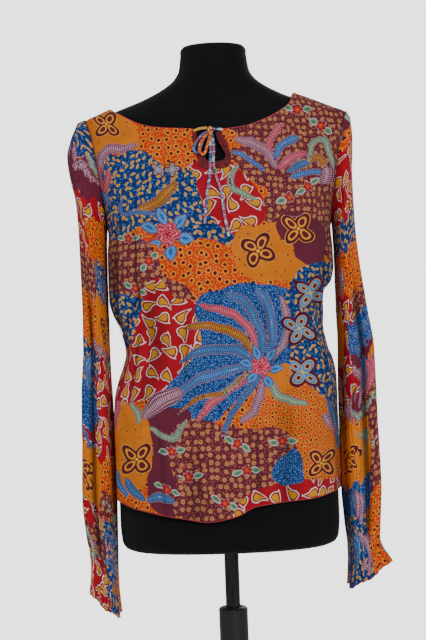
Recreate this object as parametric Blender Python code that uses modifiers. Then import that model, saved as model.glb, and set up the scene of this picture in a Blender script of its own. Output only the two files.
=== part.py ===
"""Long-sleeved pull-on blouse worn by a limbless dress form on a pole stand.

Blender 4.5, metres, +Z up. The origin is on the floor under the middle of the stand's base.
The front faces -Y, and +X is the wearer's left. Heights of cloth and form count from the
form's underside, which stands FORM_FOOT above the floor.
"""

import math
from bisect import bisect_right
from collections import namedtuple
from functools import lru_cache

import bmesh
import bpy
from mathutils import Vector

# Driving sizes
FORM_FOOT = 0.720          # the form's underside above the floor
CLOTH_WALL = 0.0013        # thin crinkled cloth with its folds, as a rigid wall
SEAM_GAP = 0.0003          # between sewn pieces
ARMPIT = 0.474             # top of the side seams
SHOULDER_TIP = 0.642       # outer end of the shoulder seams
NECK_PLUS_X = 0.117        # where the neckline meets the +X shoulder seam
NECK_MINUS_X = 0.157       # the same on the -X side: the blouse sits askew
ARMHOLE_FRONT = 0.036      # how far the armhole's front edge stands forward of the side seam
ARMHOLE_BACK = 0.034
ARMHOLE_STEPS = 12         # faces from the armpit to the shoulder tip
LOWER_ROWS = 15            # rows of faces from the hem to the armpit
SLEEVE_RINGS = 27
STRING_WIDTH = 0.0042      # the tie's string
POLE_RADIUS = 0.01075
TUBE_RADIUS = 0.0215
TUBE_WALL = 0.0020
TUBE_SEAT = 0.0143         # the base's shoulder, which carries the outer tube
COLLAR_TOP = 0.628
COLLAR_RIM = 0.007         # the part of the collar above the tube
PLUG_DEPTH = 0.028         # the part of it inside the tube
SOCKET_DEPTH = 0.090       # the pole's seat inside the form
SOCKET_GAP = 0.00036       # pole in its socket
POLE_FOOT = 0.300
POLE_BEVEL = 0.0012
RUNNING_GAP = 0.00035      # pole in collar
SLEEVE_GAP = 0.00045       # a sleeve's head over the panels
FACING_GAP = 0.00042       # the facing inside the slit's edge
FACING_WALL = 0.0011
FACING_GATHER = 0.0006
FACING_TOP = 0.6125        # the facing ends under the neck edge
SLIT_CUT_TOP = 0.660       # how high the cut of the slit runs on above the neck edge
SLIT_CUT_Y = (-0.150, -0.020)

# How points are spaced and sections rounded
SHARE_POWER = 0.87         # spaces the columns of a panel evenly round the body
EVEN_COLUMNS = 0.4         # the rest of the spacing brings columns closer at a panel's sides
SLEEVE_FULLNESS = 0.9      # below 1 a sleeve's section is fuller than an ellipse
RING_SPACING = 1.08        # above 1 a sleeve's rings are closer near the shoulder
LEAN_STEP = 0.004          # over which the slope of the shoulders is measured
FOLD_LEVEL = 0.30          # a body crease keeps its depth this far from its middle
FOLD_FADE = 0.35           # and loses it over this share of its length
SLEEVE_FADE_TOP = 0.25     # the same at the two ends of a sleeve's fold
SLEEVE_FADE_END = 0.15


def table(columns, *rows):
    """Rows with named columns."""
    kind = namedtuple("Row", columns)
    return [kind(*row) for row in rows]


# Sections of the dress form: half width, and depth before and behind the middle
FORM = table(
    "height half_width front back power",
    (0.000, 0.1480, 0.094, 0.109, 2.3),
    (0.004, 0.1570, 0.101, 0.117, 2.3),
    (0.014, 0.1620, 0.105, 0.122, 2.3),
    (0.040, 0.1640, 0.107, 0.125, 2.3),
    (0.080, 0.1640, 0.108, 0.126, 2.3),
    (0.150, 0.1620, 0.106, 0.124, 2.3),
    (0.220, 0.1490, 0.098, 0.106, 2.3),
    (0.290, 0.1290, 0.091, 0.088, 2.2),
    (0.330, 0.1230, 0.090, 0.084, 2.2),
    (0.380, 0.1290, 0.098, 0.087, 2.2),
    (0.430, 0.1410, 0.114, 0.093, 2.2),
    (0.465, 0.1490, 0.122, 0.096, 2.3),
    (0.500, 0.1570, 0.119, 0.098, 2.3),
    (0.540, 0.1670, 0.107, 0.099, 2.2),
    (0.580, 0.1760, 0.089, 0.095, 2.2),
    (0.610, 0.1830, 0.075, 0.088, 2.1),
    (0.630, 0.1870, 0.065, 0.082, 2.0),
    (0.640, 0.1840, 0.060, 0.079, 2.0),
    (0.647, 0.1690, 0.056, 0.076, 2.0),
    (0.654, 0.1510, 0.053, 0.072, 2.0),
    (0.661, 0.1320, 0.051, 0.068, 2.0),
    (0.668, 0.1130, 0.049, 0.064, 2.0),
    (0.677, 0.0930, 0.048, 0.060, 2.0),
    (0.687, 0.0750, 0.048, 0.057, 2.0),
    (0.698, 0.0610, 0.048, 0.054, 2.0),
    (0.711, 0.0530, 0.048, 0.052, 2.0),
    (0.729, 0.0500, 0.047, 0.050, 2.0),
    (0.742, 0.0490, 0.046, 0.049, 2.0),
    (0.747, 0.0450, 0.042, 0.045, 2.0),
)

# Sections of the blouse's body at its inner skin: half width towards -X and +X, and depth
BODY = table(
    "height minus_x plus_x front back power",
    (0.045, 0.1650, 0.1665, 0.1200, 0.1340, 2.35),
    (0.080, 0.1650, 0.1665, 0.1195, 0.1340, 2.35),
    (0.150, 0.1650, 0.1665, 0.1180, 0.1320, 2.35),
    (0.200, 0.1650, 0.1660, 0.1165, 0.1260, 2.35),
    (0.225, 0.1640, 0.1658, 0.1158, 0.1215, 2.33),
    (0.250, 0.1580, 0.1650, 0.1150, 0.1170, 2.30),
    (0.275, 0.1490, 0.1610, 0.1147, 0.1130, 2.30),
    (0.292, 0.1450, 0.1545, 0.1145, 0.1100, 2.30),
    (0.332, 0.1540, 0.1480, 0.1160, 0.1070, 2.30),
    (0.352, 0.1625, 0.1490, 0.1175, 0.1060, 2.30),
    (0.372, 0.1672, 0.1500, 0.1190, 0.1050, 2.30),
    (0.392, 0.1676, 0.1625, 0.1210, 0.1045, 2.30),
    (0.415, 0.1676, 0.1672, 0.1235, 0.1040, 2.30),
    (0.440, 0.1672, 0.1667, 0.1265, 0.1040, 2.30),
    (0.474, 0.1648, 0.1648, 0.1285, 0.1045, 2.35),
    (0.500, 0.1680, 0.1680, 0.1250, 0.1055, 2.35),
    (0.540, 0.1780, 0.1780, 0.1130, 0.1060, 2.30),
    (0.580, 0.1870, 0.1870, 0.0950, 0.1020, 2.25),
    (0.610, 0.1930, 0.1930, 0.0810, 0.0950, 2.15),
    (0.630, 0.1955, 0.1955, 0.0710, 0.0890, 2.05),
    (0.642, 0.1930, 0.1930, 0.0655, 0.0850, 2.05),
    (0.650, 0.1760, 0.1760, 0.0615, 0.0815, 2.05),
    (0.657, 0.1590, 0.1590, 0.0615, 0.0790, 2.10),
    (0.664, 0.1410, 0.1410, 0.0610, 0.0755, 2.15),
    (0.671, 0.1220, 0.1220, 0.0605, 0.0720, 2.20),
    (0.682, 0.1000, 0.1000, 0.0600, 0.0680, 2.20),
)

# Neck edges across the body
FRONT_NECK = table(
    "x height",
    (-0.157, 0.6573), (-0.147, 0.6490), (-0.137, 0.6420), (-0.111, 0.6280), (-0.085, 0.6210),
    (-0.038, 0.6160), (0.002, 0.6140), (0.038, 0.6170), (0.066, 0.6260), (0.094, 0.6400),
    (0.108, 0.6520), (0.114, 0.6645), (0.117, 0.6728),
)
BACK_NECK = table(
    "x height",
    (-0.157, 0.6573), (-0.140, 0.6500), (-0.100, 0.6430), (-0.020, 0.6390), (0.060, 0.6450),
    (0.095, 0.6560), (0.111, 0.6660), (0.117, 0.6728),
)

# Lower edges round the body: share runs from -1 at the -X side seam to 1 at the +X side seam
FRONT_HEM = table(
    "share height",
    (-1.00, 0.079), (-0.85, 0.069), (-0.68, 0.064), (-0.42, 0.056), (-0.20, 0.050), (0.05, 0.057),
    (0.22, 0.070), (0.45, 0.074), (0.68, 0.076), (0.88, 0.081), (1.00, 0.083),
)
BACK_HEM = table(
    "share height",
    (-1.00, 0.079), (-0.60, 0.071), (-0.20, 0.064), (0.20, 0.067), (0.60, 0.072), (1.00, 0.083),
)

# Creases of the body. Angles are in degrees round it: 0 at the +X side, 90 at the front,
# 180 at the -X side and 270 at the back. Depth is positive where the cloth stands out.
BODY_FOLDS = table(
    "angle_low height_low angle_high height_high half_angle depth",
    (152, 0.270, 141, 0.440, 9, 0.0055),
    (163, 0.290, 155, 0.430, 7, -0.0045),
    (134, 0.200, 128, 0.400, 9, -0.0030),
    (166, 0.070, 163, 0.250, 10, 0.0035),
    (120, 0.050, 116, 0.190, 10, 0.0035),
    (103, 0.050, 106, 0.170, 8, -0.0025),
    (84, 0.050, 80, 0.200, 11, 0.0040),
    (60, 0.060, 62, 0.210, 10, -0.0030),
    (44, 0.070, 40, 0.280, 10, 0.0045),
    (28, 0.250, 42, 0.420, 8, 0.0050),
    (20, 0.330, 30, 0.440, 6, -0.0035),
    (14, 0.070, 16, 0.240, 8, -0.0030),
    (200, 0.070, 208, 0.400, 10, 0.0060),
    (217, 0.090, 222, 0.430, 8, -0.0040),
    (232, 0.060, 238, 0.330, 10, 0.0065),
    (252, 0.060, 252, 0.300, 9, -0.0040),
    (270, 0.050, 268, 0.400, 12, 0.0060),
    (288, 0.060, 290, 0.300, 9, -0.0040),
    (306, 0.060, 302, 0.350, 10, 0.0065),
    (322, 0.090, 318, 0.430, 8, -0.0040),
    (340, 0.070, 333, 0.400, 10, 0.0060),
)

# Sleeve sections from the shoulder down. Each has an outer and an inner point, seen from
# the front, and its depth before and behind the line between them.
RIGHT_SLEEVE = table(
    "along outer outer_height inner inner_height front back",
    (0.000, 0.2060, 0.6390, 0.1690, 0.4790, 0.044, 0.043),
    (0.045, 0.2170, 0.6130, 0.1698, 0.4660, 0.048, 0.048),
    (0.090, 0.2230, 0.5880, 0.1704, 0.4480, 0.050, 0.050),
    (0.135, 0.2200, 0.5590, 0.1710, 0.4280, 0.049, 0.050),
    (0.185, 0.2130, 0.5230, 0.1711, 0.4060, 0.046, 0.048),
    (0.245, 0.2100, 0.4820, 0.1711, 0.3820, 0.043, 0.046),
    (0.320, 0.2090, 0.4300, 0.1712, 0.3480, 0.041, 0.044),
    (0.420, 0.2080, 0.3550, 0.1716, 0.3050, 0.040, 0.043),
    (0.500, 0.2090, 0.2950, 0.1712, 0.2650, 0.040, 0.042),
    (0.570, 0.2130, 0.2400, 0.1700, 0.2220, 0.039, 0.041),
    (0.650, 0.2150, 0.1750, 0.1692, 0.1670, 0.038, 0.040),
    (0.770, 0.2180, 0.0830, 0.1690, 0.0790, 0.037, 0.039),
    (0.850, 0.2140, 0.0300, 0.1700, 0.0230, 0.037, 0.039),
    (0.920, 0.2080, -0.0170, 0.1710, -0.0340, 0.040, 0.041),
    (1.000, 0.2085, -0.0620, 0.1700, -0.0960, 0.046, 0.045),
)
LEFT_SLEEVE = table(
    "along outer outer_height inner inner_height front back",
    (0.000, 0.2010, 0.6330, 0.1690, 0.4790, 0.043, 0.042),
    (0.045, 0.2030, 0.6060, 0.1698, 0.4660, 0.045, 0.046),
    (0.090, 0.2020, 0.5790, 0.1704, 0.4490, 0.046, 0.048),
    (0.135, 0.2005, 0.5520, 0.1710, 0.4300, 0.045, 0.047),
    (0.185, 0.2010, 0.5200, 0.1711, 0.4080, 0.043, 0.046),
    (0.245, 0.2020, 0.4760, 0.1711, 0.3820, 0.042, 0.045),
    (0.320, 0.2060, 0.4220, 0.1712, 0.3460, 0.041, 0.044),
    (0.420, 0.2150, 0.3480, 0.1722, 0.3000, 0.041, 0.043),
    (0.500, 0.2240, 0.2860, 0.1712, 0.2580, 0.041, 0.043),
    (0.570, 0.2245, 0.2320, 0.1702, 0.2140, 0.040, 0.042),
    (0.650, 0.2250, 0.1720, 0.1700, 0.1640, 0.039, 0.041),
    (0.770, 0.2270, 0.0880, 0.1700, 0.0830, 0.038, 0.040),
    (0.850, 0.2240, 0.0400, 0.1725, 0.0320, 0.038, 0.040),
    (0.920, 0.2210, 0.0060, 0.1760, -0.0100, 0.041, 0.042),
    (1.000, 0.2350, -0.0280, 0.1750, -0.0660, 0.050, 0.049),
)

# Lengthwise folds of a sleeve. Angles: -90 at the inner side, 0 at the front, 90 outside.
SLEEVE_FOLDS = table(
    "angle_low angle_high start end half_angle depth",
    (12, 20, 0.28, 0.97, 17, -0.0085),
    (-28, -22, 0.22, 1.00, 16, 0.0040),
    (52, 50, 0.16, 1.00, 17, 0.0035),
    (84, 78, 0.40, 0.94, 16, -0.0030),
    (-66, -62, 0.40, 0.96, 16, -0.0035),
    (168, 160, 0.24, 0.97, 17, -0.0090),
    (205, 208, 0.26, 1.00, 17, 0.0040),
    (126, 122, 0.20, 1.00, 16, 0.0035),
)
CUFF_WAVES = 6             # ripples of a cuff's stretched edge
CUFF_RIPPLE = 0.0036
CUFF_SCALLOP = 0.3         # how much of a ripple shows in the edge's height
CUFF_FROM = 0.93           # where along the sleeve the ripples begin

# The slit below the neckline and the opening that its gathered facing leaves, in x and height
SLIT = ((-0.0336, 0.6150), (-0.0344, 0.5934), (-0.0292, 0.5743), (-0.0240, 0.5575),
        (-0.0053, 0.5546), (0.0138, 0.5562), (0.0200, 0.5696), (0.0164, 0.5870),
        (0.0083, 0.6064), (0.0071, 0.6150))
FACING_INSIDE = ((-0.0282, 0.6125), (-0.0290, 0.5987), (-0.0244, 0.5860), (-0.0186, 0.5740),
                 (-0.0120, 0.5660), (0.0070, 0.5665), (0.0122, 0.5744), (0.0076, 0.5847),
                 (0.0012, 0.5977), (-0.0010, 0.6105))
SLIT_STEPS = 30

# The tie. Each row is x, height and how far the string's middle stands off the cloth.
KNOT = (-0.0085, 0.6095, 0.0046)
KNOT_HALF = (0.0045, 0.0042, 0.0062)
STRING_RIGHT = ((-0.0325, 0.6114, 0.0017), (-0.0260, 0.6130, 0.0030), (-0.0190, 0.6136, 0.0042),
                (-0.0127, 0.6134, 0.0046))
STRING_LEFT = ((0.0095, 0.6112, 0.0021), (0.0050, 0.6118, 0.0032), (-0.0038, 0.6112, 0.0046))
LOOP_BEHIND = ((-0.0132, 0.6080, 0.0034), (-0.0185, 0.6057, 0.0026), (-0.0252, 0.5997, 0.0024),
               (-0.0308, 0.5910, 0.0024), (-0.0332, 0.5840, 0.0024), (-0.0312, 0.5792, 0.0024),
               (-0.0268, 0.5786, 0.0024), (-0.0238, 0.5830, 0.0024), (-0.0214, 0.5910, 0.0024),
               (-0.0188, 0.5972, 0.0025), (-0.0144, 0.6028, 0.0028))
LOOP_FRONT = ((-0.0112, 0.6052, 0.0072), (-0.0158, 0.5998, 0.0078), (-0.0215, 0.5920, 0.0076),
              (-0.0245, 0.5845, 0.0072), (-0.0242, 0.5770, 0.0070), (-0.0200, 0.5726, 0.0070),
              (-0.0162, 0.5765, 0.0070), (-0.0142, 0.5840, 0.0072), (-0.0110, 0.5930, 0.0074),
              (-0.0078, 0.6030, 0.0074))
END_LONG = ((-0.0058, 0.6042, 0.0028), (-0.0048, 0.5940, 0.0023), (-0.0046, 0.5800, 0.0023),
            (-0.0056, 0.5660, 0.0023), (-0.0046, 0.5520, 0.0023), (-0.0015, 0.5380, 0.0023),
            (0.0032, 0.5220, 0.0023), (0.0055, 0.5050, 0.0023), (0.0070, 0.4860, 0.0023),
            (0.0100, 0.4690, 0.0023), (0.0118, 0.4560, 0.0023))
END_SHORT = ((-0.0103, 0.6036, 0.0028), (-0.0093, 0.5940, 0.0023), (-0.0093, 0.5800, 0.0023),
             (-0.0103, 0.5660, 0.0023), (-0.0108, 0.5520, 0.0023), (-0.0128, 0.5360, 0.0023),
             (-0.0158, 0.5200, 0.0023), (-0.0168, 0.5040, 0.0023), (-0.0192, 0.4890, 0.0023),
             (-0.0212, 0.4750, 0.0023))

# Profiles of the stand: the base from its spigot down, and the collar's crown from the bore out
BASE_PROFILE = table(
    "radius height",
    (0.0000, 0.0450), (0.0179, 0.0450), (0.0189, 0.0440), (0.0189, TUBE_SEAT), (0.0340, TUBE_SEAT),
    (0.0400, 0.0118), (0.1100, 0.0095), (0.1550, 0.0080), (0.1630, 0.0062), (0.1650, 0.0030),
    (0.1640, 0.0000), (0.0000, 0.0000),
)
COLLAR_CROWN = table(
    "radius drop",
    (0.0111, 0.0006), (0.0117, 0.0000), (0.0165, 0.0000), (0.0200, 0.0012), (0.0218, 0.0036),
)

# Finishes: colour, roughness, metallic
FINISH = {
    "front": ((0.62, 0.22, 0.12), 0.80, 0.0),
    "back": ((0.60, 0.23, 0.14), 0.80, 0.0),
    "sleeve": ((0.52, 0.22, 0.18), 0.85, 0.0),
    "facing": ((0.36, 0.04, 0.06), 0.85, 0.0),
    "tie": ((0.46, 0.24, 0.24), 0.80, 0.0),
    "jersey": ((0.010, 0.010, 0.013), 0.75, 0.0),
    "chrome": ((0.35, 0.36, 0.38), 0.22, 1.0),
    "black paint": ((0.012, 0.012, 0.013), 0.40, 0.0),
}


def smooth(rows, key, column, at):
    """A column's value at a place along the key column, on a curve that keeps within its rows."""
    keys = [getattr(row, key) for row in rows]
    values = [getattr(row, column) for row in rows]
    if at <= keys[0]:
        return values[0]
    if at >= keys[-1]:
        return values[-1]
    last = len(keys) - 1
    slopes = [(values[i + 1] - values[i]) / (keys[i + 1] - keys[i]) for i in range(last)]

    def slope_at(i):
        if i in (0, last):
            return slopes[0] if i == 0 else slopes[-1]
        before, after = slopes[i - 1], slopes[i]
        return 0.0 if before * after <= 0 else 2 * before * after / (before + after)

    i = bisect_right(keys, at) - 1
    step = keys[i + 1] - keys[i]
    t = (at - keys[i]) / step
    return (
        (1 + 2 * t) * (1 - t) ** 2 * values[i]
        + t * (1 - t) ** 2 * step * slope_at(i)
        + t * t * (3 - 2 * t) * values[i + 1]
        + t * t * (t - 1) * step * slope_at(i + 1)
    )


@lru_cache(maxsize=None)
def body_section(height):
    """The blouse's section at a height."""
    return type(BODY[0])(*(smooth(BODY, "height", name, height) for name in BODY[0]._fields))


def blend(t):
    """0 to 1 with level ends."""
    t = min(max(t, 0.0), 1.0)
    return t * t * (3 - 2 * t)


def curve_through(points, count):
    """Points evenly spaced by index along a smooth curve through the given ones."""
    points = [Vector(p) for p in points]
    ends = [2 * points[0] - points[1], *points, 2 * points[-1] - points[-2]]
    out = []
    for k in range(count):
        place = k * (len(points) - 1) / (count - 1)
        i = min(int(place), len(points) - 2)
        t = place - i
        a, b, c, d = ends[i:i + 4]
        out.append(
            0.5 * (2 * b + (c - a) * t + (2 * a - 5 * b + 4 * c - d) * t * t
                   + (3 * b - a - 3 * c + d) * t ** 3)
        )
    return out


# The blouse's body

def armhole_turn(height):
    """Angle round the armhole, from -90 degrees at the armpit to 90 at the shoulder tip."""
    share = 2 * (height - ARMPIT) / (SHOULDER_TIP - ARMPIT) - 1
    return math.asin(min(max(share, -1.0), 1.0))


def panel_side(height, side, front):
    """The x of a panel's side edge: its side seam, armhole or, above it, the shoulder tip."""
    section = body_section(min(height, SHOULDER_TIP))
    half_width = section.plus_x if side > 0 else section.minus_x
    if height <= ARMPIT or height >= SHOULDER_TIP:
        return half_width
    depth = section.front if front else section.back
    reach = (ARMHOLE_FRONT if front else ARMHOLE_BACK) * math.cos(armhole_turn(height))
    return half_width * (1 - (reach / depth) ** section.power) ** (1 / section.power)


def fold_out(share, height, front):
    """How far the creases move a point of the body out."""
    turn = math.degrees(math.acos(max(-1.0, min(1.0, math.copysign(
        abs(share) ** (1 / SHARE_POWER), share)))))
    angle = turn if front else 360 - turn
    out = 0.0
    for fold in BODY_FOLDS:
        up = (height - fold.height_low) / (fold.height_high - fold.height_low)
        middle = fold.angle_low + (fold.angle_high - fold.angle_low) * up
        away = (angle - middle + 180) % 360 - 180
        ends = 1 - blend((abs(up - 0.5) - FOLD_LEVEL) / FOLD_FADE)
        if fold.height_low < 0.1 and up < 0.5:
            ends = 1.0
        out += fold.depth * ends * math.exp(-(away / fold.half_angle) ** 2)
    return out


def body_point(share, height, front, out=0.0):
    """A point of the body's inner skin, or of a skin moved out from it."""
    section = body_section(height)
    side = 1 if share >= 0 else -1
    half_width = section.plus_x if side > 0 else section.minus_x
    depth = section.front if front else section.back
    x = share * panel_side(height, side, front)
    inside = max(0.0, 1 - (abs(x) / half_width) ** section.power)
    y = depth * inside ** (1 / section.power)
    normal = Vector((x / half_width ** 2, y / depth ** 2, 0.0)).normalized()
    if height > ARMPIT:
        above = body_section(height + LEAN_STEP)
        lean = (depth - (above.front if front else above.back)) / LEAN_STEP
        normal = Vector((normal.x, normal.y, lean * max(0.3, normal.y))).normalized()
    move = out + fold_out(share, height, front)
    x, y, height = x + normal.x * move, y + normal.y * move, height + normal.z * move
    y = max(y, SEAM_GAP / 2)
    return Vector((x, -y if front else y, FORM_FOOT + height))


def front_point(x, height, out):
    """The point over the front at an x and a height, moved out from the panel's outer skin."""
    share = x / panel_side(height, 1 if x >= 0 else -1, True)
    return body_point(share, height, True, CLOTH_WALL + out)


def ridge_height(x):
    """Height of the shoulder seam over a distance from the middle."""
    low, high = SHOULDER_TIP, BODY[-1].height
    for _ in range(30):
        middle = (low + high) / 2
        if body_section(middle).plus_x > x:
            low = middle
        else:
            high = middle
    return low


def top_height(share, front):
    """Where a column of a panel ends: at its shoulder seam or at the neck edge."""
    x = share * body_section(SHOULDER_TIP).plus_x
    if x >= NECK_PLUS_X - 1e-6 or x <= -NECK_MINUS_X + 1e-6:
        return ridge_height(abs(x))
    neck = FRONT_NECK if front else BACK_NECK
    height = SHOULDER_TIP
    for _ in range(6):
        height = smooth(neck, "x", "height", share * panel_side(height, x, front))
    return height


def column_shares(plus_x, middle, minus_x):
    """Where the columns of a panel run, with one at each neck point."""
    tip = body_section(SHOULDER_TIP).plus_x
    first_neck = math.acos((NECK_PLUS_X / tip) ** (1 / SHARE_POWER))
    last_neck = math.pi - math.acos((NECK_MINUS_X / tip) ** (1 / SHARE_POWER))
    turns = [first_neck * i / plus_x for i in range(plus_x)]
    for i in range(middle):
        closer_at_ends = 0.5 - 0.5 * math.cos(math.pi * i / middle)
        place = EVEN_COLUMNS * i / middle + (1 - EVEN_COLUMNS) * closer_at_ends
        turns.append(first_neck + (last_neck - first_neck) * place)
    turns += [last_neck + (math.pi - last_neck) * i / minus_x for i in range(minus_x + 1)]
    return [math.copysign(abs(math.cos(t)) ** SHARE_POWER, math.cos(t)) for t in turns]


def armhole_heights():
    """Heights of the rows of faces along the armholes, as shares of the way up."""
    return [
        0.5 - 0.5 * math.cos(math.pi * k / ARMHOLE_STEPS) for k in range(ARMHOLE_STEPS + 1)
    ]


def panel_grid(shares, hem, front):
    """Rows of points of a body panel, from the hem up."""
    rows = []
    for i in range(LOWER_ROWS):
        row = []
        for share in shares:
            low = smooth(hem, "share", "height", share)
            row.append(body_point(share, low + (ARMPIT - low) * i / LOWER_ROWS, front))
        rows.append(row)
    for up in armhole_heights():
        rows.append([
            body_point(share, ARMPIT + (top_height(share, front) - ARMPIT) * up, front)
            for share in shares
        ])
    return rows


# The sleeves

def armhole_ring(side):
    """Where a sleeve starts: round the armhole, just clear of the panels' outer skin."""
    heights = [ARMPIT + (SHOULDER_TIP - ARMPIT) * up for up in armhole_heights()]
    ring = []
    for front, order in ((True, heights), (False, heights[-2:0:-1])):
        for height in order:
            under = max(0.0, -math.sin(armhole_turn(height)))
            lift = CLOTH_WALL + SLEEVE_GAP + (CLOTH_WALL + SEAM_GAP) * under
            point = body_point(side, height, front, lift)
            if height in (ARMPIT, SHOULDER_TIP):
                point.y = 0.0
            if height == SHOULDER_TIP:
                point.z += CLOTH_WALL + SEAM_GAP
            ring.append(point)
    return ring


def sleeve_fold(turn, along):
    """How far the folds move a point of a sleeve out."""
    out = 0.0
    for fold in SLEEVE_FOLDS:
        share = (along - fold.start) / (fold.end - fold.start)
        middle = fold.angle_high + (fold.angle_low - fold.angle_high) * share
        away = (math.degrees(turn) - middle + 180) % 360 - 180
        ends = blend(share / SLEEVE_FADE_TOP)
        if fold.end < 1.0:
            ends *= blend((1 - share) / SLEEVE_FADE_END)
        out += fold.depth * ends * math.exp(-(away / fold.half_angle) ** 2)
    return out


def sleeve_point(sections, side, turn, along):
    """A point of a sleeve's inner skin."""
    part = {name: smooth(sections, "along", name, along) for name in sections[0]._fields}
    outer = Vector((part["outer"], 0.0, part["outer_height"]))
    inner = Vector((part["inner"], 0.0, part["inner_height"]))
    middle, half = (outer + inner) / 2, (outer - inner) / 2
    across = math.copysign(abs(math.sin(turn)) ** SLEEVE_FULLNESS, math.sin(turn))
    depth = part["front"] if math.cos(turn) > 0 else part["back"]
    forward = math.copysign(abs(math.cos(turn)) ** SLEEVE_FULLNESS, math.cos(turn)) * depth
    move = sleeve_fold(turn, along)
    ripple = blend((along - CUFF_FROM) / (1 - CUFF_FROM)) * CUFF_RIPPLE
    wave = math.cos(CUFF_WAVES * turn)
    way = Vector((half.normalized() * math.sin(turn)))
    way.y = -math.cos(turn)
    point = middle + half * across + Vector((0.0, -forward, 0.0)) + way * (move + ripple * wave)
    point.z -= CUFF_SCALLOP * ripple * wave
    return Vector((side * point.x, point.y, FORM_FOOT + point.z))


def sleeve_grid(sections, side):
    """Rings of points of a sleeve, from the armhole down."""
    steps = 2 * ARMHOLE_STEPS
    turns = [-math.pi / 2 + 2 * math.pi * k / steps for k in range(steps)]
    rings = [armhole_ring(side)]
    for i in range(SLEEVE_RINGS):
        along = i / (SLEEVE_RINGS - 1)
        rings.append([sleeve_point(sections, side, turn, along ** RING_SPACING) for turn in turns])
    return rings


# Objects

def finish(obj, name):
    """Gives an object its material."""
    colour, roughness, metallic = FINISH[name]
    material = bpy.data.materials.new(f"{obj.name} {name}")
    material.use_nodes = True
    shader = material.node_tree.nodes["Principled BSDF"]
    shader.inputs["Base Color"].default_value = (*colour, 1.0)
    shader.inputs["Roughness"].default_value = roughness
    shader.inputs["Metallic"].default_value = metallic
    obj.data.materials.append(material)


def add_object(name, data, collection, material=None):
    """A new object in a collection."""
    obj = bpy.data.objects.new(name, data)
    collection.objects.link(obj)
    if material:
        finish(obj, material)
    return obj


def skin_mesh(name, rows, ring, flip, caps=False):
    """A mesh over rows of points. A ring joins the last column to the first."""
    bm = bmesh.new()
    grid = [[bm.verts.new(point) for point in row] for row in rows]
    columns = len(grid[0])
    for lower, upper in zip(grid, grid[1:]):
        for k in range(columns if ring else columns - 1):
            after = (k + 1) % columns
            corners = [lower[k], lower[after], upper[after], upper[k]]
            bm.faces.new(corners[::-1] if flip else corners)
    if caps:
        bm.faces.new(grid[0] if flip else grid[0][::-1])
        bm.faces.new(grid[-1][::-1] if flip else grid[-1])
    mesh = bpy.data.meshes.new(name)
    bm.to_mesh(mesh)
    bm.free()
    mesh.shade_smooth()
    return mesh


def add_cloth(name, rows, collection, material, ring=False, flip=False, wall=CLOTH_WALL):
    """A cloth wall whose inner skin is the given rows of points."""
    obj = add_object(name, skin_mesh(name, rows, ring, flip), collection, material)
    solid = obj.modifiers.new("wall", "SOLIDIFY")
    solid.thickness = wall
    solid.offset = 1.0
    return obj


def add_turned(name, profile, collection, material, steps, closed=False):
    """A turned piece. Its profile runs down the outer side, as radius and height."""
    mesh = bpy.data.meshes.new(name)
    points = [(radius, 0.0, height) for radius, height in profile]
    edges = [(i, i + 1) for i in range(len(points) - 1)]
    if closed:
        edges.append((len(points) - 1, 0))
    mesh.from_pydata(points, edges, [])
    obj = add_object(name, mesh, collection, material)
    screw = obj.modifiers.new("turn", "SCREW")
    screw.steps = steps
    screw.render_steps = steps
    screw.use_merge_vertices = True
    screw.merge_threshold = 1e-5
    return obj


def add_string(name, path, collection, count):
    """A round string along a smooth curve over the front."""
    curve = bpy.data.curves.new(name, "CURVE")
    curve.dimensions = "3D"
    curve.bevel_depth = STRING_WIDTH / 2
    curve.bevel_resolution = 2
    curve.use_fill_caps = True
    spline = curve.splines.new("POLY")
    points = curve_through(path, count)
    spline.points.add(len(points) - 1)
    for point, place in zip(spline.points, points):
        point.co = (*front_point(place.x, place.y, place.z), 1.0)
    return add_object(name, curve, collection, "tie")


def add_slit_cutter(collection):
    """The solid that cuts the slit: its outline, extruded through the front."""
    outline = curve_through(SLIT, SLIT_STEPS)
    outline += [Vector((outline[-1].x, SLIT_CUT_TOP)), Vector((outline[0].x, SLIT_CUT_TOP))]
    rows = [[Vector((p.x, y, FORM_FOOT + p.y)) for p in outline] for y in SLIT_CUT_Y]
    mesh = skin_mesh("slit_cutter", rows, True, False, True)
    cutter = add_object("slit_cutter", mesh, collection)
    bm = bmesh.new()
    bm.from_mesh(cutter.data)
    bmesh.ops.recalc_face_normals(bm, faces=bm.faces)
    bm.to_mesh(cutter.data)
    bm.free()
    cutter.hide_render = True
    cutter.display_type = "WIRE"
    return cutter


def cut(obj, cutter):
    """Takes a cutter out of an object."""
    tool = obj.modifiers.new(cutter.name, "BOOLEAN")
    tool.operation = "DIFFERENCE"
    tool.solver = "EXACT"
    tool.object = cutter


def add_facing(collection):
    """The gathered strip inside the slit, a seam's gap in from its edge."""
    edge = curve_through(SLIT, SLIT_STEPS)
    inside = curve_through(FACING_INSIDE, SLIT_STEPS)
    rows = []
    for across in (0.0, 0.5, 1.0):
        row = []
        for k, (outer, inner) in enumerate(zip(edge, inside)):
            start = outer + (inner - outer).normalized() * FACING_GAP
            place = start.lerp(inner, across)
            place.y = min(place.y, FACING_TOP)
            gather = FACING_GATHER * math.cos(math.pi * k) * across
            row.append(front_point(place.x, place.y, gather - CLOTH_WALL))
        rows.append(row)
    return add_cloth("keyhole_facing", rows, collection, "facing", flip=True,
                     wall=FACING_WALL)


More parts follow.
